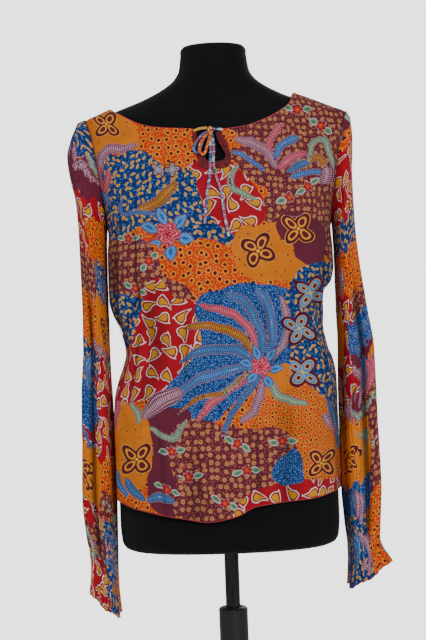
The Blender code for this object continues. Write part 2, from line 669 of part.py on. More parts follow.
def add_form(collection, cutters):
    """The torso with its neck, and the socket for the pole in its underside."""
    around = 32
    rows = []
    for section in FORM:
        row = []
        for k in range(around):
            turn = 2 * math.pi * k / around
            across = math.copysign(abs(math.cos(turn)) ** (2 / section.power), math.cos(turn))
            deep = math.copysign(abs(math.sin(turn)) ** (2 / section.power), math.sin(turn))
            depth = section.back if deep > 0 else section.front
            place = (section.half_width * across, depth * deep, FORM_FOOT + section.height)
            row.append(Vector(place))
        rows.append(row)
    form = add_object("form_torso", skin_mesh("form_torso", rows, True, False, True), collection,
                      "jersey")
    bpy.ops.mesh.primitive_cylinder_add(
        vertices=24, radius=POLE_RADIUS + SOCKET_GAP, depth=2 * SOCKET_DEPTH,
        location=(0.0, 0.0, FORM_FOOT))
    socket = bpy.context.object
    socket.name = "socket_cutter"
    for holder in list(socket.users_collection):
        holder.objects.unlink(socket)
    cutters.objects.link(socket)
    socket.hide_render = True
    socket.display_type = "WIRE"
    cut(form, socket)
    return form


def add_stand(collection):
    """Base, outer tube, its collar and the pole that slides in it."""
    add_turned("base_plate", BASE_PROFILE, collection, "black paint", 32)
    bore = TUBE_RADIUS - TUBE_WALL
    plug_top = COLLAR_TOP - COLLAR_RIM
    foot = TUBE_SEAT + SEAM_GAP
    add_turned("stand_tube", (
        (bore, plug_top), (TUBE_RADIUS, plug_top), (TUBE_RADIUS, foot), (bore, foot)),
        collection, "black paint", 28, closed=True)
    guide, plug = POLE_RADIUS + RUNNING_GAP, bore - SEAM_GAP
    rim = plug_top + SEAM_GAP
    add_turned("tube_collar", (
        *((radius, COLLAR_TOP - drop) for radius, drop in COLLAR_CROWN),
        (TUBE_RADIUS, rim), (plug, rim), (plug, rim - PLUG_DEPTH), (guide, rim - PLUG_DEPTH)),
        collection, "black paint", 28, closed=True)
    top, bevelled = FORM_FOOT + SOCKET_DEPTH - SEAM_GAP, POLE_RADIUS - POLE_BEVEL
    add_turned("pole", (
        (0.0, top), (bevelled, top), (POLE_RADIUS, top - POLE_BEVEL),
        (POLE_RADIUS, POLE_FOOT + POLE_BEVEL), (bevelled, POLE_FOOT), (0.0, POLE_FOOT)),
        collection, "chrome", 24)


def add_knot(collection):
    """The bow's knot."""
    middle = front_point(*KNOT)
    bpy.ops.mesh.primitive_uv_sphere_add(segments=14, ring_count=9, radius=1.0, location=(0, 0, 0))
    knot = bpy.context.object
    knot.name = "tie_knot"
    for vertex in knot.data.vertices:
        vertex.co = Vector(a * b for a, b in zip(vertex.co, KNOT_HALF))
    knot.location = middle
    for holder in list(knot.users_collection):
        holder.objects.unlink(knot)
    collection.objects.link(knot)
    knot.data.shade_smooth()
    finish(knot, "tie")


def main():
    for obj in list(bpy.data.objects):
        bpy.data.objects.remove(obj)
    parts = bpy.data.collections.new("blouse on dress form")
    cutters = bpy.data.collections.new("cutters")
    for collection in (parts, cutters):
        bpy.context.scene.collection.children.link(collection)

    add_stand(parts)
    add_form(parts, cutters)

    front = add_cloth("front_panel", panel_grid(column_shares(7, 13, 5), FRONT_HEM, True), parts,
                      "front", flip=True)
    cut(front, add_slit_cutter(cutters))
    add_cloth("back_panel", panel_grid(column_shares(5, 10, 4), BACK_HEM, False), parts, "back")
    add_cloth("sleeve_left", sleeve_grid(LEFT_SLEEVE, 1), parts, "sleeve", ring=True, flip=True)
    add_cloth("sleeve_right", sleeve_grid(RIGHT_SLEEVE, -1), parts, "sleeve", ring=True)
    add_facing(parts)

    add_knot(parts)
    add_string("tie_string_right", STRING_RIGHT, parts, 6)
    add_string("tie_string_left", STRING_LEFT, parts, 5)
    add_string("bow_loop_behind", LOOP_BEHIND, parts, 22)
    add_string("bow_loop_front", LOOP_FRONT, parts, 22)
    add_string("tie_end_long", END_LONG, parts, 20)
    add_string("tie_end_short", END_SHORT, parts, 18)


main()
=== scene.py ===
"""Looks of a long-sleeved batik-print blouse on a black dress form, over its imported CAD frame.

Lengths are in metres, except in the print's tables, which are in millimetres: across from the
middle, and up from the form's underside, as the print shows from the front.
"""

import math
from functools import partial

import bmesh
import bpy
import numpy as np
from mathutils import Matrix, Vector


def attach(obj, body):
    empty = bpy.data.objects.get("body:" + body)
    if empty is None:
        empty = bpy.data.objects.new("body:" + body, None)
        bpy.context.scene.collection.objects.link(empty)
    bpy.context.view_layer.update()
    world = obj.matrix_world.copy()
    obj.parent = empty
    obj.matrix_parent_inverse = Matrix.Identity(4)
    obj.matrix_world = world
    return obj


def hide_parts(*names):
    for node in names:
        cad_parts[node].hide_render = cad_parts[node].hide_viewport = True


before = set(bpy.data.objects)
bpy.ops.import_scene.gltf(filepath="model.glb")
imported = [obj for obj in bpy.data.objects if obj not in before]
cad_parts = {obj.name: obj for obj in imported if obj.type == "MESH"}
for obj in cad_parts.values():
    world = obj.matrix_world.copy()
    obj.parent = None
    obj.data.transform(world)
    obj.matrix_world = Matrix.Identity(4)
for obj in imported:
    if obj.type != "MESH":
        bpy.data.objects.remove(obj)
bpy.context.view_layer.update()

# Sizes of the frame that the looks repeat
FORM_FOOT = 0.720
CLOTH_WALL = 0.0013
SEAM_GAP = 0.0003
ARMPIT = 0.474
SHOULDER_TIP = 0.642
NECK_PLUS_X = 0.117
NECK_MINUS_X = 0.157
ARMHOLE_FRONT = 0.036
ARMHOLE_BACK = 0.034
SHARE_POWER = 0.87
EVEN_COLUMNS = 0.4
SLEEVE_FULLNESS = 0.9
RING_SPACING = 1.08
LEAN_STEP = 0.004
FOLD_LEVEL = 0.30
FOLD_FADE = 0.35
SLEEVE_FADE_TOP = 0.25
SLEEVE_FADE_END = 0.15
SLEEVE_GAP = 0.00045
FACING_TOP = 0.6125
SLIT_CUT_TOP = 0.660
SLIT_CUT_Y = (-0.150, -0.020)
STRING_WIDTH = 0.0042
POLE_RADIUS = 0.01075
SOCKET_DEPTH = 0.090

# Sizes of the looks
SKIN = 0.0005              # the crepe's own thickness
SKIN_FROM = 0.0008         # how far the shell lies out in its solid's wall
CAMERA_BACK = 2.4          # camera from the middle of the form
EYE_X = -0.0146
EYE_HEIGHT = 1.058
LEAN = math.radians(2.1)   # the photograph is rolled by this much
GATHER = 1.55              # crinkled sleeve cloth is this much wider when flat
EDGE_RADIUS = 0.0008       # the rolled and overlocked edges
SEAM_RADIUS = 0.0010       # the armhole seams
SEAM_OUT = 0.0013
SIDE_SEAM_RADIUS = 0.0005
ROOM_LIGHT = 0.42
WALL_SEEN = 2.95
FLOWER_SEEN = 1.08         # how far out a flower is drawn, in its radii
FLOWER_REACH = 1.3         # how far out its place is known, a little past that
CREASE_SHADE = 0.74        # how much darker painted shade makes the print deep in a crease
SOFT_FADE = 0.25           # share of its length over which a soft crease ends
SOFT_WANDER = 0.0012       # how far a soft crease wanders to its sides
SEAM_RAISED = 0.0006       # the armhole seam over the shoulder seam
EDGE_CLEAR = 0.0005        # the neck's rolled edge ends this far from the slit
SLIT_GATHERS = 27


def table(columns, *rows):
    """Columns of numbers by name."""
    return dict(zip(columns.split(), np.array(rows, float).T))


FORM = table(
    "height half_width front back power",
    (0.0, 0.148, 0.094, 0.109, 2.3), (0.004, 0.157, 0.101, 0.117, 2.3),
    (0.014, 0.162, 0.105, 0.122, 2.3), (0.04, 0.164, 0.107, 0.125, 2.3),
    (0.08, 0.164, 0.108, 0.126, 2.3), (0.15, 0.162, 0.106, 0.124, 2.3),
    (0.22, 0.149, 0.098, 0.106, 2.3), (0.29, 0.129, 0.091, 0.088, 2.2),
    (0.33, 0.123, 0.09, 0.084, 2.2), (0.38, 0.129, 0.098, 0.087, 2.2),
    (0.43, 0.141, 0.114, 0.093, 2.2), (0.465, 0.149, 0.122, 0.096, 2.3),
    (0.5, 0.157, 0.119, 0.098, 2.3), (0.54, 0.167, 0.107, 0.099, 2.2),
    (0.58, 0.176, 0.089, 0.095, 2.2), (0.61, 0.183, 0.075, 0.088, 2.1),
    (0.63, 0.187, 0.065, 0.082, 2.0), (0.64, 0.184, 0.06, 0.079, 2.0),
    (0.647, 0.169, 0.056, 0.076, 2.0), (0.654, 0.151, 0.053, 0.072, 2.0),
    (0.661, 0.132, 0.051, 0.068, 2.0), (0.668, 0.113, 0.049, 0.064, 2.0),
    (0.677, 0.093, 0.048, 0.06, 2.0), (0.687, 0.075, 0.048, 0.057, 2.0),
    (0.698, 0.061, 0.048, 0.054, 2.0), (0.711, 0.053, 0.048, 0.052, 2.0),
    (0.729, 0.05, 0.047, 0.05, 2.0), (0.742, 0.049, 0.046, 0.049, 2.0),
    (0.747, 0.045, 0.042, 0.045, 2.0),
)
BODY = table(
    "height minus_x plus_x front back power",
    (0.045, 0.165, 0.1665, 0.12, 0.134, 2.35), (0.08, 0.165, 0.1665, 0.1195, 0.134, 2.35),
    (0.15, 0.165, 0.1665, 0.118, 0.132, 2.35), (0.2, 0.165, 0.166, 0.1165, 0.126, 2.35),
    (0.225, 0.164, 0.1658, 0.1158, 0.1215, 2.33), (0.25, 0.158, 0.165, 0.115, 0.117, 2.3),
    (0.275, 0.149, 0.161, 0.1147, 0.113, 2.3), (0.292, 0.145, 0.1545, 0.1145, 0.11, 2.3),
    (0.332, 0.154, 0.148, 0.116, 0.107, 2.3), (0.352, 0.1625, 0.149, 0.1175, 0.106, 2.3),
    (0.372, 0.1672, 0.15, 0.119, 0.105, 2.3), (0.392, 0.1676, 0.1625, 0.121, 0.1045, 2.3),
    (0.415, 0.1676, 0.1672, 0.1235, 0.104, 2.3), (0.44, 0.1672, 0.1667, 0.1265, 0.104, 2.3),
    (0.474, 0.1648, 0.1648, 0.1285, 0.1045, 2.35), (0.5, 0.168, 0.168, 0.125, 0.1055, 2.35),
    (0.54, 0.178, 0.178, 0.113, 0.106, 2.3), (0.58, 0.187, 0.187, 0.095, 0.102, 2.25),
    (0.61, 0.193, 0.193, 0.081, 0.095, 2.15), (0.63, 0.1955, 0.1955, 0.071, 0.089, 2.05),
    (0.642, 0.193, 0.193, 0.0655, 0.085, 2.05), (0.65, 0.176, 0.176, 0.0615, 0.0815, 2.05),
    (0.657, 0.159, 0.159, 0.0615, 0.079, 2.1), (0.664, 0.141, 0.141, 0.061, 0.0755, 2.15),
    (0.671, 0.122, 0.122, 0.0605, 0.072, 2.2), (0.682, 0.1, 0.1, 0.06, 0.068, 2.2),
)
FRONT_NECK = table(
    "x height",
    (-0.157, 0.6573), (-0.147, 0.649), (-0.137, 0.642), (-0.111, 0.628), (-0.085, 0.621),
    (-0.038, 0.616), (0.002, 0.614), (0.038, 0.617), (0.066, 0.626), (0.094, 0.64), (0.108, 0.652),
    (0.114, 0.6645), (0.117, 0.6728),
)
BACK_NECK = table(
    "x height",
    (-0.157, 0.6573), (-0.14, 0.65), (-0.1, 0.643), (-0.02, 0.639), (0.06, 0.645), (0.095, 0.656),
    (0.111, 0.666), (0.117, 0.6728),
)
FRONT_HEM = table(
    "share height",
    (-1.0, 0.079), (-0.85, 0.069), (-0.68, 0.064), (-0.42, 0.056), (-0.2, 0.05), (0.05, 0.057),
    (0.22, 0.07), (0.45, 0.074), (0.68, 0.076), (0.88, 0.081), (1.0, 0.083),
)
BACK_HEM = table(
    "share height",
    (-1.0, 0.079), (-0.6, 0.071), (-0.2, 0.064), (0.2, 0.067), (0.6, 0.072), (1.0, 0.083),
)
BODY_FOLDS = table(
    "angle_low height_low angle_high height_high half_angle depth",
    (152, 0.27, 141, 0.44, 9, 0.0055), (163, 0.29, 155, 0.43, 7, -0.0045),
    (134, 0.2, 128, 0.4, 9, -0.003), (166, 0.07, 163, 0.25, 10, 0.0035),
    (120, 0.05, 116, 0.19, 10, 0.0035), (103, 0.05, 106, 0.17, 8, -0.0025),
    (84, 0.05, 80, 0.2, 11, 0.004), (60, 0.06, 62, 0.21, 10, -0.003),
    (44, 0.07, 40, 0.28, 10, 0.0045), (28, 0.25, 42, 0.42, 8, 0.005),
    (20, 0.33, 30, 0.44, 6, -0.0035), (14, 0.07, 16, 0.24, 8, -0.003),
    (200, 0.07, 208, 0.4, 10, 0.006), (217, 0.09, 222, 0.43, 8, -0.004),
    (232, 0.06, 238, 0.33, 10, 0.0065), (252, 0.06, 252, 0.3, 9, -0.004),
    (270, 0.05, 268, 0.4, 12, 0.006), (288, 0.06, 290, 0.3, 9, -0.004),
    (306, 0.06, 302, 0.35, 10, 0.0065), (322, 0.09, 318, 0.43, 8, -0.004),
    (340, 0.07, 333, 0.4, 10, 0.006),
)
RIGHT_SLEEVE = table(
    "along outer outer_height inner inner_height front back",
    (0.0, 0.206, 0.639, 0.169, 0.479, 0.044, 0.043),
    (0.045, 0.217, 0.613, 0.1698, 0.466, 0.048, 0.048),
    (0.09, 0.223, 0.588, 0.1704, 0.448, 0.05, 0.05),
    (0.135, 0.22, 0.559, 0.171, 0.428, 0.049, 0.05),
    (0.185, 0.213, 0.523, 0.1711, 0.406, 0.046, 0.048),
    (0.245, 0.21, 0.482, 0.1711, 0.382, 0.043, 0.046),
    (0.32, 0.209, 0.43, 0.1712, 0.348, 0.041, 0.044),
    (0.42, 0.208, 0.355, 0.1716, 0.305, 0.04, 0.043),
    (0.5, 0.209, 0.295, 0.1712, 0.265, 0.04, 0.042),
    (0.57, 0.213, 0.24, 0.17, 0.222, 0.039, 0.041),
    (0.65, 0.215, 0.175, 0.1692, 0.167, 0.038, 0.04),
    (0.77, 0.218, 0.083, 0.169, 0.079, 0.037, 0.039),
    (0.85, 0.214, 0.03, 0.17, 0.023, 0.037, 0.039),
    (0.92, 0.208, -0.017, 0.171, -0.034, 0.04, 0.041),
    (1.0, 0.2085, -0.062, 0.17, -0.096, 0.048, 0.047),
)
LEFT_SLEEVE = table(
    "along outer outer_height inner inner_height front back",
    (0.0, 0.201, 0.633, 0.169, 0.479, 0.043, 0.042),
    (0.045, 0.203, 0.606, 0.1698, 0.466, 0.045, 0.046),
    (0.09, 0.202, 0.579, 0.1704, 0.449, 0.046, 0.048),
    (0.135, 0.2005, 0.552, 0.171, 0.43, 0.045, 0.047),
    (0.185, 0.201, 0.52, 0.1711, 0.408, 0.043, 0.046),
    (0.245, 0.202, 0.476, 0.1711, 0.382, 0.042, 0.045),
    (0.32, 0.206, 0.422, 0.1712, 0.346, 0.041, 0.044),
    (0.42, 0.215, 0.348, 0.1722, 0.3, 0.041, 0.043),
    (0.5, 0.224, 0.286, 0.1712, 0.258, 0.041, 0.043),
    (0.57, 0.2245, 0.232, 0.1702, 0.214, 0.04, 0.042),
    (0.65, 0.225, 0.172, 0.17, 0.164, 0.039, 0.041),
    (0.77, 0.227, 0.088, 0.17, 0.083, 0.038, 0.04),
    (0.85, 0.224, 0.04, 0.1725, 0.032, 0.038, 0.04),
    (0.92, 0.221, 0.006, 0.176, -0.01, 0.041, 0.042),
    (1.0, 0.235, -0.028, 0.175, -0.066, 0.05, 0.049),
)
SLEEVE_FOLDS = table(
    "angle_low angle_high start end half_angle depth",
    (12, 20, 0.28, 0.97, 17, -0.0085), (-28, -22, 0.22, 1.0, 16, 0.004),
    (52, 50, 0.16, 1.0, 17, 0.0035), (84, 78, 0.4, 0.94, 16, -0.003),
    (-66, -62, 0.4, 0.96, 16, -0.0035), (168, 160, 0.24, 0.97, 17, -0.009),
    (205, 208, 0.26, 1.0, 17, 0.004), (126, 122, 0.2, 1.0, 16, 0.0035),
)
SLIT = (
    (-0.0336, 0.615), (-0.0344, 0.5934), (-0.0292, 0.5743), (-0.024, 0.5575), (-0.0053, 0.5546),
    (0.0138, 0.5562), (0.02, 0.5696), (0.0164, 0.587), (0.0083, 0.6064), (0.0071, 0.615),
)
FACING_INSIDE = (
    (-0.0282, 0.6125), (-0.029, 0.5987), (-0.0244, 0.586), (-0.0186, 0.574), (-0.012, 0.566),
    (0.007, 0.5665), (0.0122, 0.5744), (0.0076, 0.5847), (0.0012, 0.5977), (-0.001, 0.6105),
)
KNOT = (-0.0085, 0.6095, 0.0046)
KNOT_HALF = (0.0045, 0.0042, 0.0062)
STRING_RIGHT = (
    (-0.0325, 0.6114, 0.0017), (-0.026, 0.613, 0.003), (-0.019, 0.6136, 0.0042),
    (-0.0127, 0.6134, 0.0046),
)
STRING_LEFT = ((0.0095, 0.6112, 0.0021), (0.0050, 0.6118, 0.0032), (-0.0038, 0.6112, 0.0046))
LOOP_BEHIND = (
    (-0.0132, 0.608, 0.0034), (-0.0185, 0.6057, 0.0026), (-0.0252, 0.5997, 0.0024),
    (-0.0308, 0.591, 0.0024), (-0.0332, 0.584, 0.0024), (-0.0312, 0.5792, 0.0024),
    (-0.0268, 0.5786, 0.0024), (-0.0238, 0.583, 0.0024), (-0.0214, 0.591, 0.0024),
    (-0.0188, 0.5972, 0.0025), (-0.0144, 0.6028, 0.0028),
)
LOOP_FRONT = (
    (-0.0112, 0.6052, 0.0072), (-0.0158, 0.5998, 0.0078), (-0.0215, 0.592, 0.0076),
    (-0.0245, 0.5845, 0.0072), (-0.0242, 0.577, 0.007), (-0.02, 0.5726, 0.007),
    (-0.0162, 0.5765, 0.007), (-0.0142, 0.584, 0.0072), (-0.011, 0.593, 0.0074),
    (-0.0078, 0.603, 0.0074),
)
END_LONG = (
    (-0.0058, 0.6042, 0.0028), (-0.0048, 0.594, 0.0023), (-0.0046, 0.58, 0.0023),
    (-0.0056, 0.566, 0.0023), (-0.0046, 0.552, 0.0023), (-0.0015, 0.538, 0.0023),
    (0.0032, 0.522, 0.0023), (0.0055, 0.505, 0.0023), (0.007, 0.486, 0.0023),
    (0.01, 0.469, 0.0023), (0.0118, 0.456, 0.0023),
)
END_SHORT = (
    (-0.0103, 0.6036, 0.0028), (-0.0093, 0.594, 0.0023), (-0.0093, 0.58, 0.0023),
    (-0.0103, 0.566, 0.0023), (-0.0108, 0.552, 0.0023), (-0.0128, 0.536, 0.0023),
    (-0.0158, 0.52, 0.0023), (-0.0168, 0.504, 0.0023), (-0.0192, 0.489, 0.0023),
    (-0.0212, 0.475, 0.0023),
)
SOFT_FOLDS = table(
    "x_low height_low x_high height_high half_width depth",
    (-0.153, 0.3, -0.15, 0.5, 0.0036, -0.0034), (-0.1462, 0.3, -0.1436, 0.5, 0.0055, 0.002),
    (-0.1196, 0.36, -0.125, 0.48, 0.0032, -0.0026), (-0.1122, 0.36, -0.1176, 0.48, 0.006, 0.0014),
    (-0.144, 0.296, -0.118, 0.396, 0.0032, -0.003), (-0.136, 0.296, -0.11, 0.396, 0.006, 0.002),
    (-0.139, 0.222, -0.118, 0.336, 0.0032, -0.003),
    (-0.1316, 0.222, -0.1106, 0.336, 0.006, 0.0018), (0.156, 0.175, 0.133, 0.33, 0.0036, -0.0026),
    (0.148, 0.175, 0.125, 0.33, 0.007, 0.0022), (0.15, 0.3, 0.156, 0.47, 0.0036, -0.0024),
    (0.142, 0.3, 0.148, 0.47, 0.0065, 0.0018), (-0.09, 0.05, -0.098, 0.2, 0.005, -0.0014),
    (-0.03, 0.045, -0.026, 0.18, 0.007, 0.0014), (0.045, 0.06, 0.04, 0.21, 0.006, -0.0013),
    (0.095, 0.07, 0.102, 0.24, 0.006, 0.0015), (-0.115, 0.47, -0.09, 0.59, 0.007, 0.0013),
    (0.115, 0.47, 0.095, 0.6, 0.006, 0.0014), (-0.06, 0.24, -0.05, 0.36, 0.008, -0.0012),
    (0.07, 0.25, 0.06, 0.38, 0.008, -0.0012),
)
CUFF_WAVES = 6
CUFF_RIPPLE = 0.0036
CUFF_SCALLOP = 0.3         # how much of a ripple shows in the edge's height
CUFF_FROM = 0.93
CRINKLES = 38              # round a sleeve, about 6 mm apart
CRINKLE_DEPTH = 0.0019
TAKEN_IN = 0.62            # how much of the gathered cloth each crinkle's valley takes in
SLEEVE_GIRTH = 220.0       # round a crinkled sleeve, in the print's millimetres
CUFF_HEIGHT = -0.070       # a cuff's middle, from the form's underside
SLEEVE_COLUMNS = 264
SLEEVE_ROWS = 172
HEAD_ROWS = 6              # rows from the armhole seam to the sleeve's first section
BACK_SHIFT = (24.0, -34.0)  # the back is cut from another place of the same print

# The print. Grounds are laid one over the other on orange-red ringed dots.
GROUNDS = ("daisies", "drops", "seeds", "plain", "maroon", "stipple", "fine")
FLOWER_KINDS = ("gold", "blue", "peony", "rose")
PLUME_KINDS = ("blue", "sky", "pink", "mauve", "sage", "gold")
PATCHES = (
    ("daisies", ((23, 627), (59, 637), (105, 657), (124, 672), (155, 665), (183, 655), (202, 623),
     (199, 540), (188, 451), (184, 361), (150, 359), (146, 419), (130, 465), (106, 478), (69, 484),
     (65, 508), (75, 530), (49, 546), (31, 565), (23, 592), (40, 597), (29, 614))),
    ("drops", ((-41, 572), (-10, 578), (17, 577), (34, 559), (66, 523), (71, 503), (64, 482),
     (31, 475), (20, 457), (-7, 464), (-20, 511), (-33, 534), (-44, 555))),
    ("seeds", ((-181, 584), (-145, 591), (-115, 597), (-78, 572), (-41, 561), (-30, 534),
     (-20, 506), (1, 479), (20, 463), (18, 448), (-15, 461), (-45, 459), (-89, 479), (-119, 483),
     (-153, 466), (-186, 464))),
    ("daisies", ((-186, 455), (-153, 463), (-120, 465), (-94, 437), (-84, 408), (-55, 392),
     (-45, 369), (-69, 361), (-92, 395), (-119, 387), (-141, 373), (-189, 367))),
    ("drops", ((-113, 396), (-92, 402), (-72, 376), (-39, 363), (-29, 323), (-23, 301), (-31, 271),
     (-52, 252), (-71, 227), (-99, 218), (-129, 222), (-156, 217), (-195, 218), (-187, 266),
     (-147, 295), (-133, 335), (-122, 372))),
    ("seeds", ((-189, 380), (-121, 375), (-127, 342), (-147, 301), (-192, 299))),
    ("stipple", ((-39, 366), (1, 386), (43, 391), (82, 386), (105, 364), (103, 296), (98, 256),
     (64, 236), (37, 228), (9, 211), (-19, 182), (-52, 177), (-90, 206), (-90, 239), (-36, 294))),
    ("plain", ((22, 466), (64, 479), (109, 481), (132, 447), (164, 419), (162, 362), (143, 335),
     (120, 375), (103, 391), (61, 395), (37, 401), (22, 424))),
    ("maroon", ((85, 485), (110, 496), (140, 486), (157, 464), (155, 422), (134, 417), (115, 428),
     (107, 448), (89, 457))),
    ("seeds", ((119, 411), (146, 419), (186, 406), (183, 316), (186, 210), (175, 151), (158, 181),
     (136, 218), (113, 249), (98, 259), (94, 304), (92, 349), (103, 386))),
    ("plain", ((37, 228), (71, 263), (101, 265), (118, 240), (94, 217), (54, 212))),
    ("fine", ((30, 204), (58, 221), (91, 226), (118, 237), (145, 218), (176, 166), (182, 78),
     (134, 89), (107, 90), (105, 131), (92, 166), (65, 176), (38, 171))),
    ("maroon", ((-135, 198), (-99, 209), (-54, 204), (-56, 159), (-75, 52), (-119, 59),
     (-120, 117), (-134, 147))),
    ("daisies", ((-73, 184), (-32, 188), (5, 178), (35, 171), (68, 176), (92, 163), (105, 131),
     (95, 97), (62, 86), (34, 75), (15, 49), (-23, 32), (-60, 33), (-86, 58), (-79, 100),
     (-92, 143))),
    ("drops", ((-4, 25), (16, 64), (44, 81), (85, 93), (137, 95), (182, 90), (181, 53), (105, 33),
     (44, 17))),
    ("plain", ((-195, 212), (-156, 217), (-129, 210), (-115, 185), (-113, 152), (-119, 105),
     (-152, 85), (-199, 104))),
    ("stipple", ((80, 130), (103, 138), (115, 102), (107, 87), (77, 88), (66, 110))),
    ("plain", ((-203, 648), (-175, 668), (-146, 658), (-120, 627), (-116, 597), (-157, 599),
     (-176, 569), (-188, 576), (-195, 615))),
)
FLOWERS = (
    ("gold", -165, 636, 22, 8), ("gold", 57, 441, 28, 20), ("gold", 116, 470, 27, 10),
    ("gold", -138, 134, 27, 0), ("blue", 132, 375, 26, 15), ("blue", 113, 320, 27, 20),
    ("blue", 118, 255, 27, 5), ("peony", -79, 470, 42, 12), ("peony", 56, 266, 34, 20),
    ("rose", 123, 650, 22, 10), ("rose", 157, 622, 22, -25), ("rose", 108, 517, 22, 35),
    ("rose", 134, 534, 20, 50), ("rose", 14, 151, 22, -20), ("rose", 82, 152, 22, 10),
    ("rose", 29, 109, 22, 20), ("rose", -58, 104, 22, 15), ("rose", -9, 64, 22, -10),
    ("rose", -85, 144, 21, 20), ("rose", -92, 87, 20, -10), ("rose", -106, 428, 20, 60),
    ("rose", -131, 390, 20, -20), ("rose", -138, 466, 18, 10), ("blue", -89, 566, 12, 0),
    ("blue", -68, 567, 12, 45), ("gold", 141, 119, 24, 0),
)
PLUMES = (
    ("mauve", 14, ((-175, 563), (-172, 584), (-160, 600), (-140, 601), (-118, 603))),
    ("pink", 12, ((-177, 572), (-179, 554), (-171, 536))),
    ("pink", 10, ((-164, 569), (-166, 551), (-171, 533))),
    ("blue", 8, ((-174, 533), (-165, 524), (-160, 515))),
    ("gold", 18, ((-121, 506), (-94, 515), (-62, 549))),
    ("sky", 6, ((-144, 529), (-142, 505), (-106, 501), (-86, 488))),
    ("mauve", 15, ((28, 607), (60, 600), (80, 584), (88, 560))),
    ("pink", 12, ((80, 590), (84, 608), (98, 627))),
    ("blue", 14, ((87, 575), (100, 595), (125, 609))),
    ("pink", 12, ((91, 559), (113, 577), (136, 585))),
    ("sky", 10, ((103, 553), (124, 567), (146, 574))),
    ("blue", 10, ((107, 545), (130, 555), (157, 554))),
    ("gold", 12, ((137, 573), (152, 575), (163, 563))),
    ("sage", 10, ((138, 576), (147, 599), (163, 600), (171, 577), (171, 553))),
    ("sage", 10, ((34, 566), (19, 553), (24, 532), (60, 517))),
    ("blue", 9, ((22, 588), (41, 582), (70, 560))),
    ("mauve", 21, ((156, 534), (163, 549), (162, 560))),
    ("sky", 15, ((56, 266), (18, 292), (-27, 293), (-66, 277))),
    ("blue", 15, ((56, 263), (8, 262), (-37, 249), (-83, 226))),
    ("pink", 14, ((56, 260), (19, 241), (-18, 218), (-43, 183))),
    ("sky", 12, ((58, 257), (28, 222), (9, 196), (-8, 160))),
    ("mauve", 14, ((62, 254), (49, 222), (42, 198), (20, 181))),
    ("gold", 15, ((57, 272), (22, 313), (-13, 329), (-56, 327))),
    ("pink", 14, ((58, 275), (35, 327), (5, 352), (-36, 360))),
    ("sky", 14, ((61, 278), (53, 327), (36, 360), (3, 379))),
    ("blue", 14, ((66, 279), (73, 323), (69, 359), (49, 384))),
    ("mauve", 12, ((72, 275), (91, 304), (98, 337), (87, 370))),
    ("sage", 12, ((65, 254), (76, 224), (99, 211), (123, 207))),
    ("gold", 8, ((41, 258), (-5, 230), (-45, 219), (-72, 199))),
    ("mauve", 26, ((-123, 195), (-99, 218), (-65, 235))),
    ("sage", 10, ((-115, 179), (-83, 163), (-57, 192))),
    ("sage", 10, ((-144, 220), (-132, 204), (-130, 186))),
    ("sky", 14, ((-151, 106), (-142, 87), (-127, 72))),
    ("sky", 14, ((-125, 69), (-104, 74), (-83, 67))),
    ("blue", 12, ((-167, 118), (-163, 97), (-152, 79))),
    ("pink", 10, ((-162, 223), (-165, 199), (-169, 175))),
    ("sky", 12, ((153, 212), (164, 175), (166, 136))),
    ("mauve", 10, ((147, 194), (155, 176), (164, 163))),
)
PATCHES_RIGHT = (
    ("seeds", ((-130, 600), (-30, 590), (70, 612), (130, 600), (130, 680), (-130, 680))),
    ("plain", ((20, 575), (60, 560), (70, 640), (45, 670), (28, 640))),
    ("maroon", ((-130, 540), (-20, 535), (60, 545), (130, 540), (130, 604), (40, 600), (-40, 590),
     (-130, 604))),
    ("drops", ((-130, 515), (0, 510), (130, 520), (130, 545), (20, 540), (-130, 545))),
    ("drops", ((-130, 440), (-30, 446), (-4, 460), (-8, 500), (-2, 520), (-130, 520))),
    ("seeds", ((-2, 392), (40, 385), (130, 395), (130, 445), (60, 440), (10, 448))),
    ("daisies", ((-130, 380), (-40, 386), (4, 396), (8, 446), (-30, 448), (-130, 440))),
    ("plain", ((5, 318), (50, 310), (130, 316), (130, 392), (50, 386), (8, 390))),
    ("maroon", ((-14, 296), (40, 290), (130, 296), (130, 318), (40, 320), (-10, 316))),
    ("seeds", ((-130, 224), (-40, 232), (2, 226), (4, 300), (-8, 314), (-60, 308), (-130, 312))),
    ("drops", ((5, 158), (60, 164), (130, 158), (130, 298), (50, 292), (4, 298))),
    ("stipple", ((-62, 184), (-30, 176), (-4, 186), (-2, 240), (-30, 250), (-62, 238))),
    ("drops", ((-130, 142), (-40, 148), (4, 142), (2, 184), (-50, 180), (-130, 190))),
    ("plain", ((-130, 72), (-30, 78), (4, 72), (2, 152), (-40, 158), (-130, 150))),
    ("daisies", ((2, 52), (60, 58), (130, 50), (130, 104), (50, 98), (4, 104))),
    ("drops", ((-130, 38), (-40, 44), (2, 36), (2, 80), (-60, 76), (-130, 82))),
    ("seeds", ((0, -100), (44, -100), (40, -50), (50, -4), (130, -2), (130, 56), (60, 60),
     (0, 52))), ("daisies", ((-130, -14), (-30, -8), (2, -14), (2, 42), (-50, 38), (-130, 44))),
    ("drops", ((-130, -110), (0, -110), (2, -10), (-60, -6), (-130, -12))),
)
FLOWERS_RIGHT = (
    ("gold", 36, 352, 24, 10), ("gold", -34, 116, 25, 0), ("rose", 30, 80, 20, -10),
    ("blue", -70, 270, 24, 20), ("rose", -60, 410, 20, 15), ("peony", 74, 420, 30, 0),
    ("gold", 88, 350, 24, 30), ("rose", -60, 14, 18, 20), ("rose", 80, 74, 18, 40),
)
